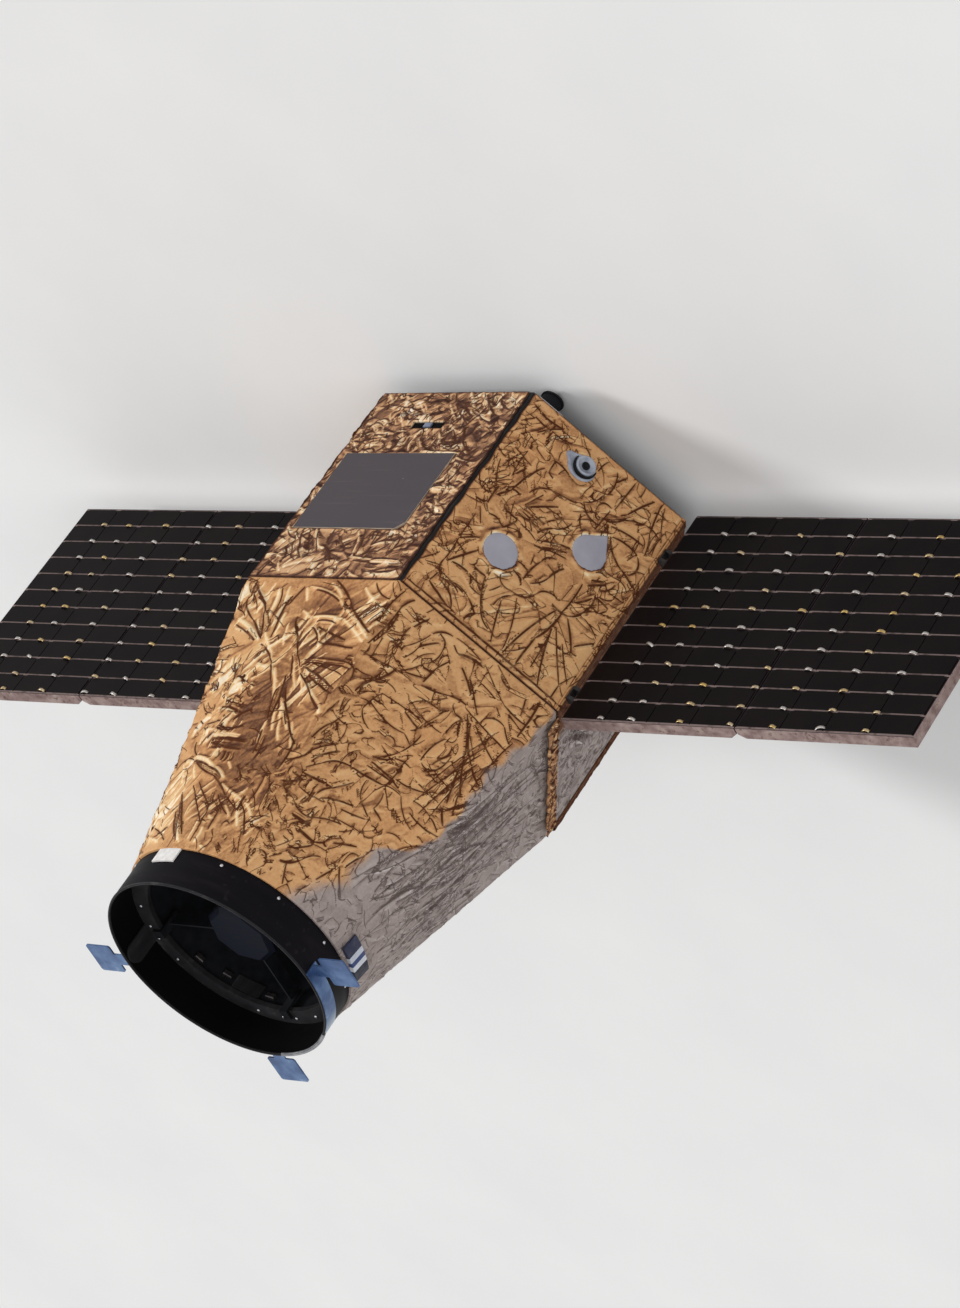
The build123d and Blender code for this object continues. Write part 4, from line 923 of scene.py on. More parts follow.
# Strewn folds, as rows for strewn; along x the covers' are in millimetres and the shroud's in degrees.
WHOLE_COVER = (-COVER_HALF, BUS_AFT, COVER_HALF, BUS_FRONT)
FACE_A_STREWN = (
    (-115, 300, 160, 10, 14, 36, 8, 2.0, -1.6), (138, 270, 130, 10, 14, 34, 8, 2.0, -1.6),
    (-60, 110, 128, 16, 11, 40, 8, 2.0, -1.5), (90, 120, 130, 12, 13, 40, 8, 2.0, -1.5),
    (0, 160, 80, 9, 12, 26, 8, 2.0, -1.5), (96, 405, 60, 9, 11, 56, 8, 2.0, -1.6),
    (-96, 240, 72, 9, 10, 44, 8, 2.0, -1.6), (60, 90, 50, 14, 12, 36, 8, 2.0, -1.5),
    (-110, 75, 64, 12, 10, 36, 8, 2.0, -1.5), (0, 440, 66, 14, 16, 26, 8, 2.0, -1.6),
    ((-146, 52, 146, 185), 120, 8, 34, 8, 1.6, 1.2), ((-146, 352, 146, 455), 60, 10, 44, 9, 1.6, 1.2),
    ((-146, 180, -86, 360), 34, 8, 34, 9, 1.6, 1.2),
)
FACE_B_STREWN = (
    ((112, 60, 146, 450), 24, 12, 44, 5, 0.6, 0.9), ((-40, 190, 30, 345), 18, 10, 34, 5, 0.6, 0.9),
    ((30, 60, 146, 275), 36, 12, 46, 5, 0.6, 0.9), ((-146, 190, -85, 300), 18, 10, 34, 5, 0.6, 0.9),
    ((-146, 60, 30, 200), 24, 14, 54, 6, 0.6, 0.9), ((-50, 330, 130, 440), 16, 12, 50, 6, 0.6, 0.9),
    (WHOLE_COVER, 60, 20, 70, 14, 1.2, 0.5),
)
SHROUD_STREWN = (
    ((-81, 585, -61, 740), 34, 6, 18, 7, 1.6, 1.3), ((-120, 750, -98, 925), 40, 8, 26, 6, 1.2, 1.1),
    (-70, 640, 58, 13, 8, 60, 8, 2.4, -2.0), (-76, 735, 66, 12, 8, 60, 8, 2.4, -1.9),
    (-98, 560, 66, 9, 9, 70, 8, 2.4, -2.0), (-66, 880, 60, 10, 9, 60, 8, 2.2, -1.9),
    ((-92, 640, -76, 700), 16, 8, 20, 6, 1.2, 1.2), ((-120, 460, -61, 931), 60, 14, 60, 9, 1.4, 1.0),
    (-108, 640, 62, 9, 9, 90, 8, 2.0, -1.7), (-116, 520, 55, 6, 8, 60, 7, 1.6, -1.5),
    (-66, 500, 70, 7, 9, 70, 9, 2.2, -2.2), (-72, 830, 48, 9, 9, 80, 8, 2.0, -1.8),
    (-112, 860, 60, 10, 8, 40, 6, 1.6, -1.3), (-84, 600, 50, 6, 10, 100, 8, 2.0, -1.8),
    (-92, 860, 55, 6, 9, 60, 8, 1.8, -1.5),
    ((-137, 790, -118, 925), 60, 6, 24, 5, 0.9, 1.0), ((-132, 460, -118, 790), 50, 8, 34, 6, 0.9, 1.0),
    ((-180, 460, -120, 931), 90, 10, 44, 7, 0.9, 0.9), (-174, 610, 80, 7, 6, 130, 7, 1.0, 1.2),
    (163, 640, 84, 24, 5, 150, 8, 1.2, 0.8), (150, 720, 80, 26, 8, 170, 8, 1.2, 0.8),
    (176, 800, 70, 16, 7, 110, 7, 1.2, 0.8),
    ((-60, 460, 60, 931), 900, 12, 56, 9, 1.7, 1.0), ((60, 460, 180, 931), 900, 7, 40, 5, 0.9, 0.6),
    (165, 700, 60, 30, 6, 60, 6, 0.8, 0.6), (150, 560, 80, 24, 7, 90, 6, 0.7, 0.6),
)


def folds_of_cover(name, rng):
    """Fold table of one cover: traced and strewn folds on the seen faces, fans and strewn folds on the
    others."""
    if name == "a":
        return np.concatenate([traced(rng, FACE_A_CRESTS, FACE_A_DRAWING, -2.8, 5.0, 2.6),
                               traced(rng, FACE_A_FOLDS, FACE_A_DRAWING, 2.2, 8.0, 2.2),
                               *strewn(rng, FACE_A_STREWN)])
    if name == "b":
        return np.concatenate([traced(rng, FACE_B_FOLDS, FACE_B_DRAWING, 2.0, 6.0, 0.9),
                               *strewn(rng, FACE_B_STREWN)])
    fans, count, long, line = (3, 560, 30, 0.6) if name in SILVER_FACES else (9, 330, 50, 0.8)
    tables = [fan(rng, rng.uniform(-120, 120), rng.uniform(80, 430), *np.sort(rng.uniform(0, 360, 2)), 9,
                  rng.uniform(50, 110), 11, 1.3, 1.0) for _ in range(fans)]
    return np.concatenate(tables + [scatter(rng, WHOLE_COVER, count, 8, long, 6, 0.9, line)])


# For each cover's web: cell size, hubs that the cells point at, line half width, roof height, and how far the
# cells differ in tone
COVER_WEBS = {
    "a": (16.0, ((-38, 416, 60), (30, 400, 45)), 0.95, 1.6, 0.10),
    "b": (21.0, ((-60, 320, 70), (40, 400, 60)), 1.0, 0.9, 0.03),
    "c": (13.0, (), 0.8, 0.9, 0.05),
    "d": (14.0, (), 0.8, 0.9, 0.05),
    "rest": (20.0, ((-60, 150, 70), (70, 300, 80), (-40, 380, 60)), 1.0, 1.6, 0.08),
}
COVER_SILVER = {"a": 0.17, "d": 1.0}
# How much face a's tone is lowered all over, as painted shade
FACE_A_PAINTED_SHADE = 0.19
# Least and greatest height of a cover's relief, and how low the foil lies under what covers it
COVER_RELIEF = (-2.6, 3.6)
STRIP_DEPTH = -0.4
RADIATOR_DEPTH = -1.5
SLOT_DEPTH = -2.8
PATCH_DEPTH = -1.0
SENSOR_DEPTH = -0.6
END_RELIEF = 0.3
RIM_SWELL = 1.2
PATCH_SWELL = 1.6
SEED_MARGIN = 9
EDGE_POWER = 24
# Where cover c's brown side, gold film under painted shade, starts and is full, from the cover's side edge,
# and how much darker the painted shade makes it
BROWN_START = 74
BROWN_FULL = 50
ROOT_PAINTED_SHADE = 0.62


def cover_sheet(name, seed, step, light, contrast):
    """Crinkled foil of one body face: a grid over the face whose height is the field of the face's folds,
    pressed flat under the strips and fittings, with sides that wander a little. Its tone is painted shade and
    glint from the relief. Cover c is silver, and on the side of the wing's root gold under dark painted
    shade."""
    rng = np.random.default_rng(seed)
    half = COVER_HALF - CORNER_GAP
    z0, z1 = BUS_AFT + END_GAP, BUS_FRONT - END_GAP
    columns = int(round(2 * half / step)) + 1
    rows = int(round((z1 - z0) / step)) + 1
    x, z = np.meshgrid(np.linspace(-half, half, columns), np.linspace(z0, z1, rows))
    size, hubs, line, roof, mottle = COVER_WEBS.get(name, COVER_WEBS["rest"])
    box = (-half - SEED_MARGIN, z0 - SEED_MARGIN, half + SEED_MARGIN, z1 + SEED_MARGIN)
    seeds = web_seeds(rng, box, size, hubs)
    height, signed, far, shade, crest = crumple(x, z, folds_of_cover(name, rng), seeds, rng, line, roof)
    to_end = np.minimum(z - z0, z1 - z)
    height = np.clip(height, *COVER_RELIEF) * (smooth_step(to_end, -1.0, 7.0) * 0.7 + END_RELIEF)
    for side in (1, -1):
        corner = (FACE_ANGLES[name] + 30 * side) % 360
        if corner in STRIP_CORNERS:
            inner_edge = COVER_HALF - strip_leg(corner, -side)
            under = smooth_step(side * x, inner_edge - 8, inner_edge + 1)
            height = height * (1 - under) + STRIP_DEPTH * under
    void = 0.0
    if name == "a":
        plate = in_box(x, z, RADIATOR)
        swell = RIM_SWELL * np.exp(-(plate / 6) ** 2)
        height = np.where(plate < 0.5, RADIATOR_DEPTH, height * smooth_step(plate, -4, 7) + swell)
        slot = in_box(x, z, SLOT)
        height = np.where(slot < 0, SLOT_DEPTH, height * smooth_step(slot, -4, 9))
        # the foil in and just round the slot is black: painted shade in the recess
        void = (slot < 1.0).astype(float)
    if name == "b":
        for number, (middle_x, middle_z) in enumerate(PATCHES):
            around = np.arctan2(z - middle_z, x - middle_x)
            past = np.hypot(x - middle_x, z - middle_z) - patch_reach(number, around)
            height = height * smooth_step(past, -2, 9)
            height += PATCH_SWELL * np.exp(-((past - 4) / 4.0) ** 2) * (1 + 0.5 * np.sin(7 * around))
            height = np.where(past < -0.6, PATCH_DEPTH, height)
        reach = np.hypot(x - SENSOR[0], z - SENSOR[1])
        raised = height * smooth_step(reach, SENSOR_PLATE_R - 3, SENSOR_PLATE_R + 9)
        height = np.where(reach < SENSOR_PLATE_R, SENSOR_DEPTH, raised)
    tone = slope_tone(height, x[0, 1] - x[0, 0], z[1, 0] - z[0, 0], light, contrast) + mottle * shade
    wander = np.abs(1.3 * np.sin(z / 23 + seed) + 0.9 * np.sin(z / 9.1 + 2 * seed))
    if name == "a":
        # face a is darker all over: painted shade
        tone = tone - FACE_A_PAINTED_SHADE
        wander = np.where(x < 0, wander + 2.0 + 1.2 * np.sin(z / 41), wander)
    # the tone falls to black at the cover's sides and ends, as painted shade in the gaps at its edges
    border = smooth_step(np.minimum(half - np.abs(x), to_end), -1.5, 3.0)
    tone = lit(tone, crest, FACE_PATCHES.get(name, ()), x, z) * border
    silver = COVER_SILVER.get(name, 0.0)
    if name == "c":
        # by the wing's root the film turns gold and its tone is darkened as painted shade
        root_side = smooth_step(x, half - BROWN_START, half - BROWN_FULL)
        silver = 1 - root_side
        tone = tone * (1 - ROOT_PAINTED_SHADE * root_side)
    normal, along = face_axes(name)
    shifted = x - np.sign(x) * (np.abs(x) / half) ** EDGE_POWER * wander
    base = (COVER_OUT - COVER_T) * normal + shifted[..., None] * along + z[..., None] * UP
    top = base + (COVER_T + height)[..., None] * normal
    foil_sheet("cover_foil_" + name, top, base, "cover_" + name,
               foil_values(tone, signed, far, silver, void))


# Where the shroud's cells point, as turn in degrees, z and reach
SHROUD_HUBS = ((-93, 529, 70), (-76, 567, 60), (-101, 615, 70), (-76, 800, 85), (-118, 679, 50),
               (-159, 544, 80), (-153, 656, 60), (-168, 500, 50), (-30, 560, 80), (-15, 760, 80),
               (40, 640, 90))
# Line half width and roof height of the web on each side of the shroud
SHROUD_WEBS = {"a": (0.02, 0.8), "b": (1.05, 0.8), "c": (0.45, 0.8), "d": (0.45, 0.8), "rest": (0.7, 1.3)}
SHROUD_RELIEF = (-3.2, 4.4)
SHROUD_CELL = 21.0
SHROUD_MOTTLE = 0.03
SHROUD_FANS = 12
# Azimuth of the sunlit corner, where the relief has less contrast, and how far that goes, in degrees
GLARE_AT = -92
GLARE_REACH = 22
# The silver part of the shroud, from one azimuth to another that grows with ragged steps towards the end
SILVER_FROM = 61.0
SILVER_TO = 179.5


def shroud_arc(degrees):
    """Arc in millimetres at the shroud's mean radius, which is x on the unrolled shroud."""
    return math.radians(degrees) * SHROUD_MEAN_R


def folds_of_shroud(rng):
    """Fold table of the whole shroud, unrolled."""
    tables = [traced(rng, SHROUD_A_CRESTS, SHROUD_A_DRAWING, -3.0, 6.0, 2.8),
              traced(rng, SHROUD_A_FOLDS, SHROUD_A_DRAWING, 2.2, 9.0, 2.2),
              traced(rng, SHROUD_B_FOLDS, SHROUD_B_DRAWING, 1.75, 7.0, 1.0),
              *strewn(rng, SHROUD_STREWN, shroud_arc)]
    for _ in range(SHROUD_FANS):
        heading = rng.uniform(0, 360)
        tables.append(fan(rng, shroud_arc(rng.uniform(-58, 60)), rng.uniform(490, 900), heading,
                          heading + 150, 9, rng.uniform(60, 110), 11, 2.0, 1.0))
    return np.concatenate(tables)


def shroud_sheets(seed, step):
    """The foil tent in six sides. A point at turn and share t lies between a hexagon at the foot and a circle
    at the end: (1-t) times the hexagon's reach plus t times the circle's radius, raised by the field of the
    folds."""
    rng = np.random.default_rng(seed)
    folds = folds_of_shroud(rng)
    full_turn = 2 * math.pi * SHROUD_MEAN_R
    table = np.concatenate([folds + [shift, 0, shift, 0, 0, 0, 0, 0, 0]
                            for shift in (-full_turn, 0, full_turn)])
    hubs = [(shroud_arc(turn), height, reach) for turn, height, reach in SHROUD_HUBS]
    box = (-shroud_arc(200), BUS_FRONT - SEED_MARGIN, shroud_arc(200), SHROUD_END + SEED_MARGIN)
    webs = web_seeds(rng, box, SHROUD_CELL, hubs)
    columns = int(round(shroud_arc(60) / step)) + 1
    rows = int(round((SHROUD_END - BUS_FRONT) / step)) + 1
    for name, angle in FACE_ANGLES.items():
        turns = np.radians(np.linspace(angle - 30, angle + 30, columns))
        turn, t = np.meshgrid(turns, np.linspace(0, 1, rows))
        x = turn * SHROUD_MEAN_R
        z = BUS_FRONT + t * (SHROUD_END - BUS_FRONT)
        low, high = x.min() - 12, x.max() + 12
        near = (np.minimum(table[:, 0], table[:, 2]) < high) & (np.maximum(table[:, 0], table[:, 2]) > low)
        seeds = webs[(webs[:, 0] < high) & (webs[:, 0] > low)]
        line, roof = SHROUD_WEBS.get(name, SHROUD_WEBS["rest"])
        height, signed, far, shade, crest = crumple(x, z, table[near], seeds, np.random.default_rng(seed + 1),
                                                    line, roof)
        height = np.clip(height, *SHROUD_RELIEF)
        height *= 0.25 + 0.75 * smooth_step(np.minimum(t, 1 - t), 0.0, 0.035)
        degrees = np.degrees(turn)
        contrast = 0.85 - 0.2 * np.exp(-((degrees - GLARE_AT) / GLARE_REACH) ** 2)
        # painted shade and glint from the relief, then soft patches of painted light and shade and painted
        # highlights on the crests
        tone = slope_tone(height, x[0, 1] - x[0, 0], z[1, 0] - z[0, 0], HIGH_LIGHT, contrast)
        tone = lit(tone + SHROUD_MOTTLE * shade, crest, SHROUD_PATCHES, x, z)
        ragged = 1.2 * np.sin(z / 29) + 0.9 * np.sin(z / 7.7)
        ragged += 14.0 * smooth_step(z, 735, 810) + 12.0 * smooth_step(z, 850, 925)
        blend = 2.5 + 8.0 * smooth_step(z, 760, 900)
        azimuth = np.mod(degrees, 360)
        gilt = smooth_step(azimuth, SILVER_TO + ragged, SILVER_TO + ragged + blend)
        silver = smooth_step(azimuth, SILVER_FROM, SILVER_FROM + 2) * (1 - gilt)
        sixth = np.mod(turn, math.pi / 3) - math.pi / 6
        foot = SHROUD_FOOT * math.cos(math.pi / 6) / np.cos(sixth)
        reach = (1 - t) * foot + t * SHROUD_TIP
        outward = np.stack([np.cos(turn), np.sin(turn), np.zeros_like(turn)], -1)
        top, base = ((reach + rise)[..., None] * outward + z[..., None] * UP for rise in (height, -SHROUD_T))
        foil_sheet("shroud_foil_" + name, top, base, "shroud",
                   foil_values(tone, signed, far, silver), True)


def closed_sweep(name, rings, material, stands_for=(), loop=False, values=None, smooth=True):
    """A piece on the bus from rings of points, one ring for each place on a path; open paths get flat end
    caps."""
    places, around = rings.shape[:2]
    caps = [] if loop else [np.arange(around)[::-1], np.arange(around) + (places - 1) * around]
    points = rings.reshape(-1, 3)
    quads, caps = facing_out(points, grid_quads(places, around, loop, True), caps)
    add_piece(name, points, quads, material, BUS, stands_for, caps, smooth, None, values)


def add_shells(name, shells, material, stands_for, values=None):
    """One piece on the bus from closed shells, each its points and its quads, numbered from its own first
    point."""
    starts = np.cumsum([0] + [len(points) for points, _ in shells])
    points = np.concatenate([points for points, _ in shells])
    quads = np.concatenate([quads + start for (_, quads), start in zip(shells, starts)])
    quads, _ = facing_out(points, quads)
    add_piece(name, points, quads, material, BUS, [stands_for], values=values)


def many_of(name, shape, places, axes, material, body, values=None, smooth=True):
    """Copies of a small closed shape, its points and its quads, at many places; axes are the three directions
    of each copy."""
    template, quads = shape
    points = places[:, None, :] + np.einsum("pk,nkc->npc", template, axes)
    count = len(template)
    every = (quads[None] + (np.arange(len(places)) * count)[:, None, None]).reshape(-1, 4)
    if values:
        values = {key: np.repeat(v, count) for key, v in values.items()}
    add_piece(name, points, every, material, body, smooth=smooth, values=values)


def circle(count):
    """Evenly spaced turns round a circle, in radians."""
    return np.linspace(0, 2 * math.pi, count, endpoint=False)


POINT_SHARE = 0.02


def dome_shape(radius, height, sides=10):
    """A closed button: rings of radius at the foot, the shoulder and near the top, and one small ring as its
    crown and one as its foot."""
    turn = circle(sides)
    rings = [(POINT_SHARE, 0.0), (1.0, 0.0), (1.0, 0.45), (0.78, 0.9), (POINT_SHARE, 1.0)]
    points = [np.stack([radius * r * np.cos(turn), radius * r * np.sin(turn), np.full(sides, height * h)], -1)
              for r, h in rings]
    return np.concatenate(points), grid_quads(len(rings), sides, False, True)


def block_shape(length, width, height, soft):
    """A closed block whose upper edges are bevelled by soft."""
    corners = np.array([(-1, -1), (1, -1), (1, 1), (-1, 1)], float)
    outline = corners * (length / 2, width / 2)
    inner = corners * (length / 2 - soft, width / 2 - soft)
    tiny = outline * 0.002
    rings = [(tiny, 0), (outline, 0), (outline, height - soft), (inner, height), (tiny, height)]
    points = np.concatenate([np.concatenate([ring, np.full((4, 1), z)], 1) for ring, z in rings])
    return points, grid_quads(len(rings), 4, False, True)


def arch_shape(length, width, height, thick, steps=8):
    """A ribbon bent into a low arch: its rise is the sine of its share along, to the power 0.7."""
    share = np.linspace(0, 1, steps)
    rise = height * np.sin(math.pi * share) ** 0.7
    upper = np.stack([length * (share - 0.5), np.full(steps, width / 2), rise + thick], -1)
    lower = upper - (0, 0, thick)
    rings = np.stack([upper, upper * (1, -1, 1), lower * (1, -1, 1), lower], 1)
    first, last = (ring.mean(0) + (ring - ring.mean(0)) * POINT_SHARE for ring in (rings[0], rings[-1]))
    return np.stack([first, *rings, last]).reshape(-1, 3), grid_quads(steps + 2, 4, False, True)


WRAP_ROWS = 190
WRAP_LIFT = 1.5
WRAP_STEP = 2.2


def corner_wraps(seed):
    """Foil folded over each corner of the bus: a bent profile carried up the corner. Its outer side stands
    1.5 mm off the covers and waves a little; its tone is painted shade and glint from its relief, with darker
    painted shade on the wide legs."""
    rng = np.random.default_rng(seed)
    z = np.linspace(BUS_AFT + END_GAP, BUS_FRONT - END_GAP, WRAP_ROWS)
    shells, fields = [], []
    for corner in STRIP_CORNERS:
        low, high = strip_leg(corner, -1), strip_leg(corner, 1)
        across = np.concatenate([np.linspace(-low, -1.2, 8), np.linspace(1.2, high, 8)])
        grid_x, grid_z = np.meshgrid(across, z)
        folds = np.concatenate([
            scatter(rng, (-low, BUS_AFT, high, BUS_FRONT), 90, 6, 60, 5, 0.7, 0.8),
            bundle(rng, (high - low) / 2, 250, 90, 5, 5, 420, 4, 0.5, 0.9)])
        height, signed, far, _ = fold_field(grid_x, grid_z, folds)
        height = np.clip(height, -0.9, 1.1)
        leg = np.where(grid_x > 0, 1.0, -1.0)
        reach = np.where(grid_x > 0, high, low)
        turn = math.radians(corner)
        cos, sin = math.cos(turn), math.sin(turn)
        turned = np.array([[cos, sin, 0], [-sin, cos, 0], [0, 0, 1]])
        lift = WRAP_LIFT + height - 0.9 * (np.abs(grid_x) / reach) ** 6
        near = np.abs(grid_x) / HEX_EDGE
        sideways = leg * HEX_EDGE * math.sin(math.radians(60)) * near
        local = np.stack([HEX_EDGE * (1 - 0.5 * near), sideways, grid_z], -1)
        normal = np.stack([np.full_like(leg, math.cos(math.radians(30))), leg * 0.5, np.zeros_like(leg)], -1)
        outer = (local + normal * lift[..., None]) @ turned
        inner = (local + normal * 0.1) @ turned
        ring = np.concatenate([outer, inner[:, ::-1]], 1)
        around = ring.shape[1]
        pairs = np.arange(len(across) - 1)
        foot = np.stack([pairs, pairs + 1, around - 2 - pairs, around - 1 - pairs], -1)
        end = foot[:, ::-1] + (WRAP_ROWS - 1) * around
        quads = np.concatenate([grid_quads(WRAP_ROWS, around, False, True), foot, end])
        shells.append((ring.reshape(-1, 3), quads))
        # painted shade: darker on the wide legs, and painted shade and glint from the relief below
        leg_shade = np.where(reach < STRIP_LEG, 0.42, 0.16)
        stripes = 0.10 * np.sin(grid_x * 1.7 + 0.6 * np.sin(grid_z / 37))
        relief = slope_tone(height, WRAP_STEP, z[1] - z[0], LOW_LIGHT, 0.8)
        tone = np.clip(leg_shade + stripes + 0.5 * (relief - 0.5), 0, 1)
        fields.append([np.concatenate([grid, grid[:, ::-1]], 1).ravel() for grid in (tone, signed, far)])
    add_shells("corner_wraps", shells, FOIL, "corner_strips",
               foil_values(*(np.concatenate(field) for field in zip(*fields))))


LIP_LENGTH = 27.0


def front_lip(seed):
    """Crinkled strip ahead of cover c, over the foot of the shroud."""
    rng = np.random.default_rng(seed)
    half = COVER_HALF - STRIP_LEG
    z0 = BUS_FRONT - END_GAP
    z1 = z0 + LIP_LENGTH
    x, z = np.meshgrid(np.linspace(-half, half, 150), np.linspace(z0, z1, 16))
    height, signed, far, _ = fold_field(x, z, scatter(rng, (-half, z0, half, z1), 120, 6, 30, 6, 1.6, 0.8))
    height = np.clip(height, -0.8, 2.2)
    normal, along = face_axes("c")
    wave = 1.5 * np.sin(x / 9) + 1.0 * np.sin(x / 3.7)
    base = COVER_OUT * normal + x[..., None] * along + (z + wave * (z - z0) / LIP_LENGTH)[..., None] * UP
    top = base + (2.0 + height)[..., None] * normal
    # painted shade and glint from the relief, lowered by 0.12 all over
    tone = slope_tone(height, x[0, 1] - x[0, 0], z[1, 0] - z[0, 0], LOW_LIGHT, 0.9) - 0.12
    foil_sheet("front_lip_foil", top, base, "front_lip",
               foil_values(np.clip(tone, 0, 1), signed, far))


DROP_TIP = 46.0
DROP_TIP_TURN = 4.51


def turned_away(turn, middle):
    """How far a turn is from another, in radians, the shorter way round."""
    return np.abs(np.mod(turn - middle + math.pi, 2 * math.pi) - math.pi)


def patch_reach(number, turn):
    """Outline of a patch as a distance from its centre: a circle with a slightly torn side. The second one is
    a drop, whose sides are the two lines from its tip that touch the circle: the radius over the cosine of
    the turn that is left to the touching point."""
    torn = 0.5 * np.sin(9 * turn + number) + 0.35 * np.sin(23 * turn)
    reach = PATCH_R - 0.8 + torn * smooth_step(np.cos(turn - 2.6), -0.4, 1.0)
    if number == 1:
        touch = math.acos(PATCH_R / DROP_TIP)
        off = turned_away(turn, DROP_TIP_TURN)
        reach = np.where(off < touch, (PATCH_R - 1.2) / np.cos(touch - off), reach)
    return reach


def plate_rings(middle, outline_x, outline_z, steps):
    """Rings of a low plate on cover b, each a share of an outline round its middle and a height off the
    cover."""
    normal, along = face_axes("b")
    return np.stack([(COVER_OUT + lift) * normal + (middle[0] + share * outline_x)[:, None] * along
                     + (middle[1] + share * outline_z)[:, None] * UP for share, lift in steps])


# Shares and heights of the rings that make the plates, from one middle over the rim to the other middle
DISC = ((0.01, 1.0), (0.5, 1.0), (0.93, 1.0), (1.0, 0.85), (1.0, -1.5), (0.01, -1.5))
FLANGE = ((0.02, -2.0), (1.0, -2.0), (1.0, 0.8), (0.94, 1.8), (0.80, 2.2), (0.74, 1.2), (0.02, 1.2))
BARREL_LIP = ((0.02, 0.0), (1.0, 0.0), (0.98, 6.0), (0.92, 8.2), (0.82, 8.6), (0.72, 7.6), (0.66, 5.0),
              (0.02, 4.4))
BORE = ((0.02, 4.0), (0.36, 4.0), (0.38, 6.6), (0.30, 7.4), (0.24, 6.0), (0.02, 5.2))
EYE = (25.0, 101.0)
EYE_WIDE = 24.0
EYE_HIGH = 20.5
EYE_TIP = (30.0, -8.0)
EYE_DRAWN = 9.0
PUPIL = (22.0, 97.0)
PUPIL_R = 17.0
LID_R = 18.6


def patches():
    """Two pale discs let into cover b, as fans of rings out to their outlines."""
    turn = circle(120)
    shells = []
    for number, middle in enumerate(PATCHES):
        reach = patch_reach(number, turn)
        rings = plate_rings(middle, reach * np.cos(turn), reach * np.sin(turn), DISC)
        shells.append((rings.reshape(-1, 3), grid_quads(len(DISC), len(turn), False, True)))
    add_shells("patch_plates", shells, PATCH_PAINT, "patch_discs")


def sensor_eye():
    """The small sensor in cover b: a flanged plate whose outline is an ellipse drawn out to a tip, a barrel
    with a rolled lip and a dark bore, and a hooded lid round one side of it."""
    turn = circle(72)
    drawn = EYE_DRAWN * np.exp(-(turned_away(turn, math.atan2(EYE_TIP[1], EYE_TIP[0])) / 0.33) ** 2)
    flange = plate_rings(EYE, (EYE_WIDE + drawn) * np.cos(turn), (EYE_HIGH + drawn) * np.sin(turn), FLANGE)
    closed_sweep("sensor_flange", flange, SENSOR_PAINT, ["sensor_plate"])
    round_x, round_z = PUPIL_R * np.cos(turn), PUPIL_R * np.sin(turn)
    lip = plate_rings(PUPIL, round_x, round_z, BARREL_LIP)
    closed_sweep("sensor_lip", lip, SENSOR_PAINT, ["sensor_barrel"])
    closed_sweep("sensor_pupil", plate_rings(PUPIL, round_x, round_z, BORE), BLACK)
    normal, along = face_axes("b")
    arc = np.radians(np.linspace(-20, 190, 40))
    outward = np.cos(arc)[:, None] * along + np.sin(arc)[:, None] * UP
    thick = 0.35 + 0.65 * np.sin(np.linspace(0, math.pi, 40)) ** 0.6
    spine = PUPIL[0] * along + PUPIL[1] * UP + COVER_OUT * normal + LID_R * outward
    ring = circle(10)
    lid = spine[:, None, :] + (thick[:, None] * 1.9 * np.cos(ring))[..., None] * outward[:, None, :] \
        + (4.5 + thick[:, None] * 4.0 * np.sin(ring))[..., None] * normal
    closed_sweep("sensor_lid", lid, BLACK)


# Columns of interconnect loops, as distances from the wing's tip on the left and from its root on the right
LOOP_PLACES = (72.0, 127.0, 214.0, 310.0, 376.0, 458.0, 534.0)
WING_ROOT = 336.0
WING_TIP = 950.0
SEAM_X = 648.0
LOOP_Y = -19.0
FIRST_ROW_LINE = 62.2
ROW_STEP = 38.691
GILT_SHARE = 0.45


def interconnects(seed):
    """Small ribbon loops over the row lines, in the columns where the photograph shows them."""
    rng = np.random.default_rng(seed)
    loop = arch_shape(14.0, 4.4, 3.4, 0.6)
    rows = FIRST_ROW_LINE + ROW_STEP * np.arange(1, 12)
    rows[-1] -= 3.5
    for side, wing in ((1, "left"), (-1, "right")):
        first = [WING_TIP - d if side > 0 else WING_ROOT + d for d in LOOP_PLACES]
        for part, low, high in (("inner", WING_ROOT, SEAM_X), ("outer", SEAM_X, WING_TIP)):
            columns = np.clip([x for x in first if low < x < high], low + 7, high - 8)
            x, z = np.meshgrid(columns, rows)
            count = x.size
            x = side * x.ravel() + rng.normal(0, 1.2, count)
            z = z.ravel() + rng.normal(0, 0.5, count)
            turn = rng.normal(0, 0.14, count)
            size = rng.uniform(0.8, 1.15, count)
            zero = np.zeros(count)
            axes = np.stack([np.stack([np.cos(turn), zero, np.sin(turn)], -1) * size[:, None],
                             np.stack([-np.sin(turn), zero, np.cos(turn)], -1),
                             np.stack([zero, -size, zero], -1)], 1)
            gilt = (rng.random(count) < GILT_SHARE) * rng.uniform(0.5, 1.0, count)
            places = np.stack([x, np.full(count, LOOP_Y), z], -1)
            many_of("cell_loops_" + part + "_" + wing, loop, places, axes, LOOP, "wing_" + part + "_" + wing,
                    {"gilt": gilt})


def round_the_axis(degrees):
    """Directions outward and along the rim for places round the axis, and up."""
    turn = np.radians(np.asarray(degrees, float))
    zero = np.zeros_like(turn)
    outward = np.stack([np.cos(turn), np.sin(turn), zero], -1)
    along = np.stack([-np.sin(turn), np.cos(turn), zero], -1)
    return outward, along, np.tile(UP, (len(turn), 1))


def ring_band(name, radii, heights, degrees, material, slot, loop=False, values=None, smooth=False):
    """A closed band round the axis: a profile of radii and heights carried over azimuths in degrees."""
    outward, _, _ = round_the_axis(degrees)
    radii, heights = np.asarray(radii, float), np.asarray(heights, float)
    rings = radii[:, None] * outward[:, None, :] + heights[:, None] * UP
    closed_sweep(name, rings, material, loop=loop, values=values, smooth=smooth)


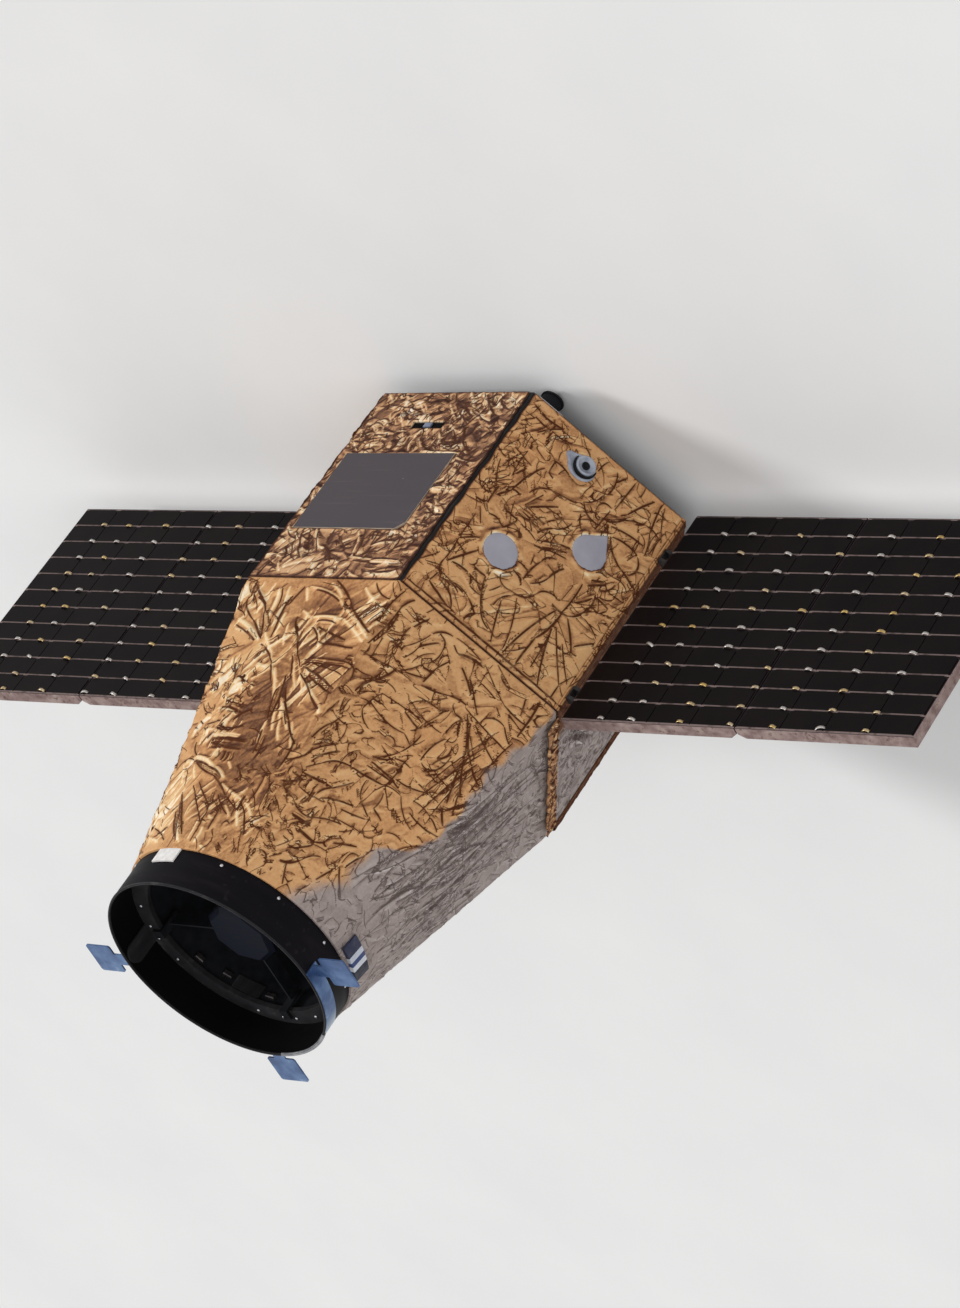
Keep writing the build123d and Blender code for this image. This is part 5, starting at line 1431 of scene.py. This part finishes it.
BAFFLE_SCREW_R = 180.0
BAFFLE_SCREW_Z = 940.0
LEDGE_SCREW_R = 166.0
LEDGE_SCREW_Z = 938.0
LEDGE_SCREWS = (-4.5, 4.5, 85.5, 94.5, 175.5, 184.5, 265.5, 274.5, 20, 70, 110, 160, 200, 250, 290, 340)


def telescope_fittings():
    """Screws on the baffle ring and the ledge, and a rolled bead on the rim."""
    dome = dome_shape(2.6, 1.6)
    outward, along, up = round_the_axis(np.arange(5, 360, 30))
    many_of("baffle_screws", dome, BAFFLE_SCREW_R * outward + BAFFLE_SCREW_Z * up,
            np.stack([along, up, outward], 1), METAL, BUS)
    outward, along, up = round_the_axis(LEDGE_SCREWS)
    many_of("ledge_screws", dome, LEDGE_SCREW_R * outward + LEDGE_SCREW_Z * up,
            np.stack([outward, along, up], 1), METAL, BUS)
    ring = circle(10)
    ring_band("rim_bead", 178.6 + 2.0 * np.cos(ring), RIM_Z - 1.8 + 2.0 * np.sin(ring),
              np.degrees(circle(180)), LEDGE, "ledge_grey", loop=True, smooth=True)


# Profiles of two bands, as radii and heights
PLATE_PROFILE = ((156.0, 153.4, 153.0, 153.0, 153.4, 156.0), (903.0, 903.0, 904.0, 926.0, 927.0, 927.0))
TAG_PROFILE = ((187.0, 193.6, 194.2, 190.4, 189.6, 184.0), (896.0, 896.0, 897.0, 924.0, 925.0, 925.0))
TAG_STEPS = 45
CLAMP_R = 156.0
CLAMP_PLACES = ((28.0, 918.0), (46.0, 913.0), (74.0, 916.0))


def small_trim():
    """Clamps and a plate on the tube's inner wall, a striped tag on the end of the foil, and a pale wrap on
    part of the rim."""
    degrees, heights = np.array(CLAMP_PLACES).T
    outward, along, up = round_the_axis(degrees)
    many_of("wall_clamps", block_shape(15.0, 9.0, 6.0, 1.2), CLAMP_R * outward + heights[:, None] * up,
            np.stack([-along, up, -outward], 1), HINGE, BUS, smooth=False)
    ring_band("wall_plate", *PLATE_PROFILE, np.linspace(51, 68, 12), LEDGE, "ledge_grey")
    band = np.repeat(np.linspace(0, 1, TAG_STEPS), len(TAG_PROFILE[0]))
    ring_band("end_tag", *TAG_PROFILE, np.linspace(154, 176, TAG_STEPS), TAG, "tape_white",
              values={"band": band})
    bead = circle(12)
    ring_band("rim_wrap", 179.0 + 2.9 * np.cos(bead), RIM_Z - 2.2 + 2.7 * np.sin(bead),
              np.linspace(95, 138, 60), WRAP, "tape_white")


def add_camera():
    """The camera at the photograph's viewing angle, from a fit to the body's corners and the cell rows."""
    data = bpy.data.cameras.new("camera")
    data.lens = 123.7
    data.sensor_width = 36.0
    camera = bpy.data.objects.new("camera", data)
    bpy.context.scene.collection.objects.link(camera)
    right = Vector((-0.7602, 0.4367, -0.481))
    up = Vector((0.029, -0.7168, -0.6967))
    back = Vector((-0.649, -0.5436, 0.5322))
    turn = Matrix((right, up, back)).transposed().to_4x4()
    camera.matrix_world = Matrix.Translation((-4.430, -3.641, 3.911)) @ turn
    bpy.context.scene.camera = camera


def sun(name, direction, energy, degrees):
    """A sun that shines from a direction, as wide as its angle."""
    data = bpy.data.lights.new(name, "SUN")
    data.energy = energy
    data.angle = math.radians(degrees)
    made = bpy.data.objects.new(name, data)
    made.rotation_mode = "QUATERNION"
    made.rotation_quaternion = Vector(direction).normalized().to_track_quat("Z", "Y")
    bpy.context.scene.collection.objects.link(made)


def add_world():
    """Plain pale surroundings, white to the camera, gloss and glass, and dimmer as light."""
    world = bpy.data.worlds.new("studio")
    bpy.context.scene.world = world
    world.use_nodes = True
    tree = world.node_tree
    path = tree.nodes.new("ShaderNodeLightPath")
    seen = path.outputs["Is Camera Ray"]
    for ray in ("Is Transmission Ray", "Is Glossy Ray"):
        either = tree.nodes.new("ShaderNodeMath")
        either.operation = "MAXIMUM"
        tree.links.new(seen, either.inputs[0])
        tree.links.new(path.outputs[ray], either.inputs[1])
        seen = either.outputs[0]
    level = tree.nodes.new("ShaderNodeMapRange")
    level.inputs["To Min"].default_value = 0.55
    level.inputs["To Max"].default_value = 1.0
    tree.links.new(seen, level.inputs[0])
    back = tree.nodes["Background"]
    back.inputs["Color"].default_value = (1, 1, 1, 1)
    tree.links.new(level.outputs[0], back.inputs["Strength"])


def add_floor():
    """Pale floor under the separation ring."""
    f = Finish("pale_floor")
    f.done(f.mix(f.span(f.noise(3.0), 0.3, 0.7), (0.80, 0.80, 0.80, 1), (0.83, 0.83, 0.825, 1)), 0.9)
    reach = 14.0
    mesh = bpy.data.meshes.new("floor")
    mesh.from_pydata([(-reach, -reach, 0), (reach, -reach, 0), (reach, reach, 0), (-reach, reach, 0)], [],
                     [(0, 1, 2, 3)])
    mesh.materials.append(f.material)
    floor = bpy.data.objects.new("floor", mesh)
    bpy.context.scene.collection.objects.link(floor)


cover_sheet("a", 11, 1.7, SUN_LIGHT, 1.15)
cover_sheet("b", 12, 1.7, HIGH_LIGHT, 0.85)
for number, name in enumerate("cdef"):
    cover_sheet(name, 13 + number, 2.3, HIGH_LIGHT, 0.85)
shroud_sheets(21, 2.1)
corner_wraps(31)
front_lip(32)
patches()
sensor_eye()
interconnects(33)
telescope_fittings()
small_trim()

add_camera()
add_world()
add_floor()
sun("key", (0.80, -0.52, 0.55), 1.6, 12)
sun("fill", (-0.75, -0.45, 0.9), 0.7, 40)
bpy.context.scene.view_settings.view_transform = "Standard"
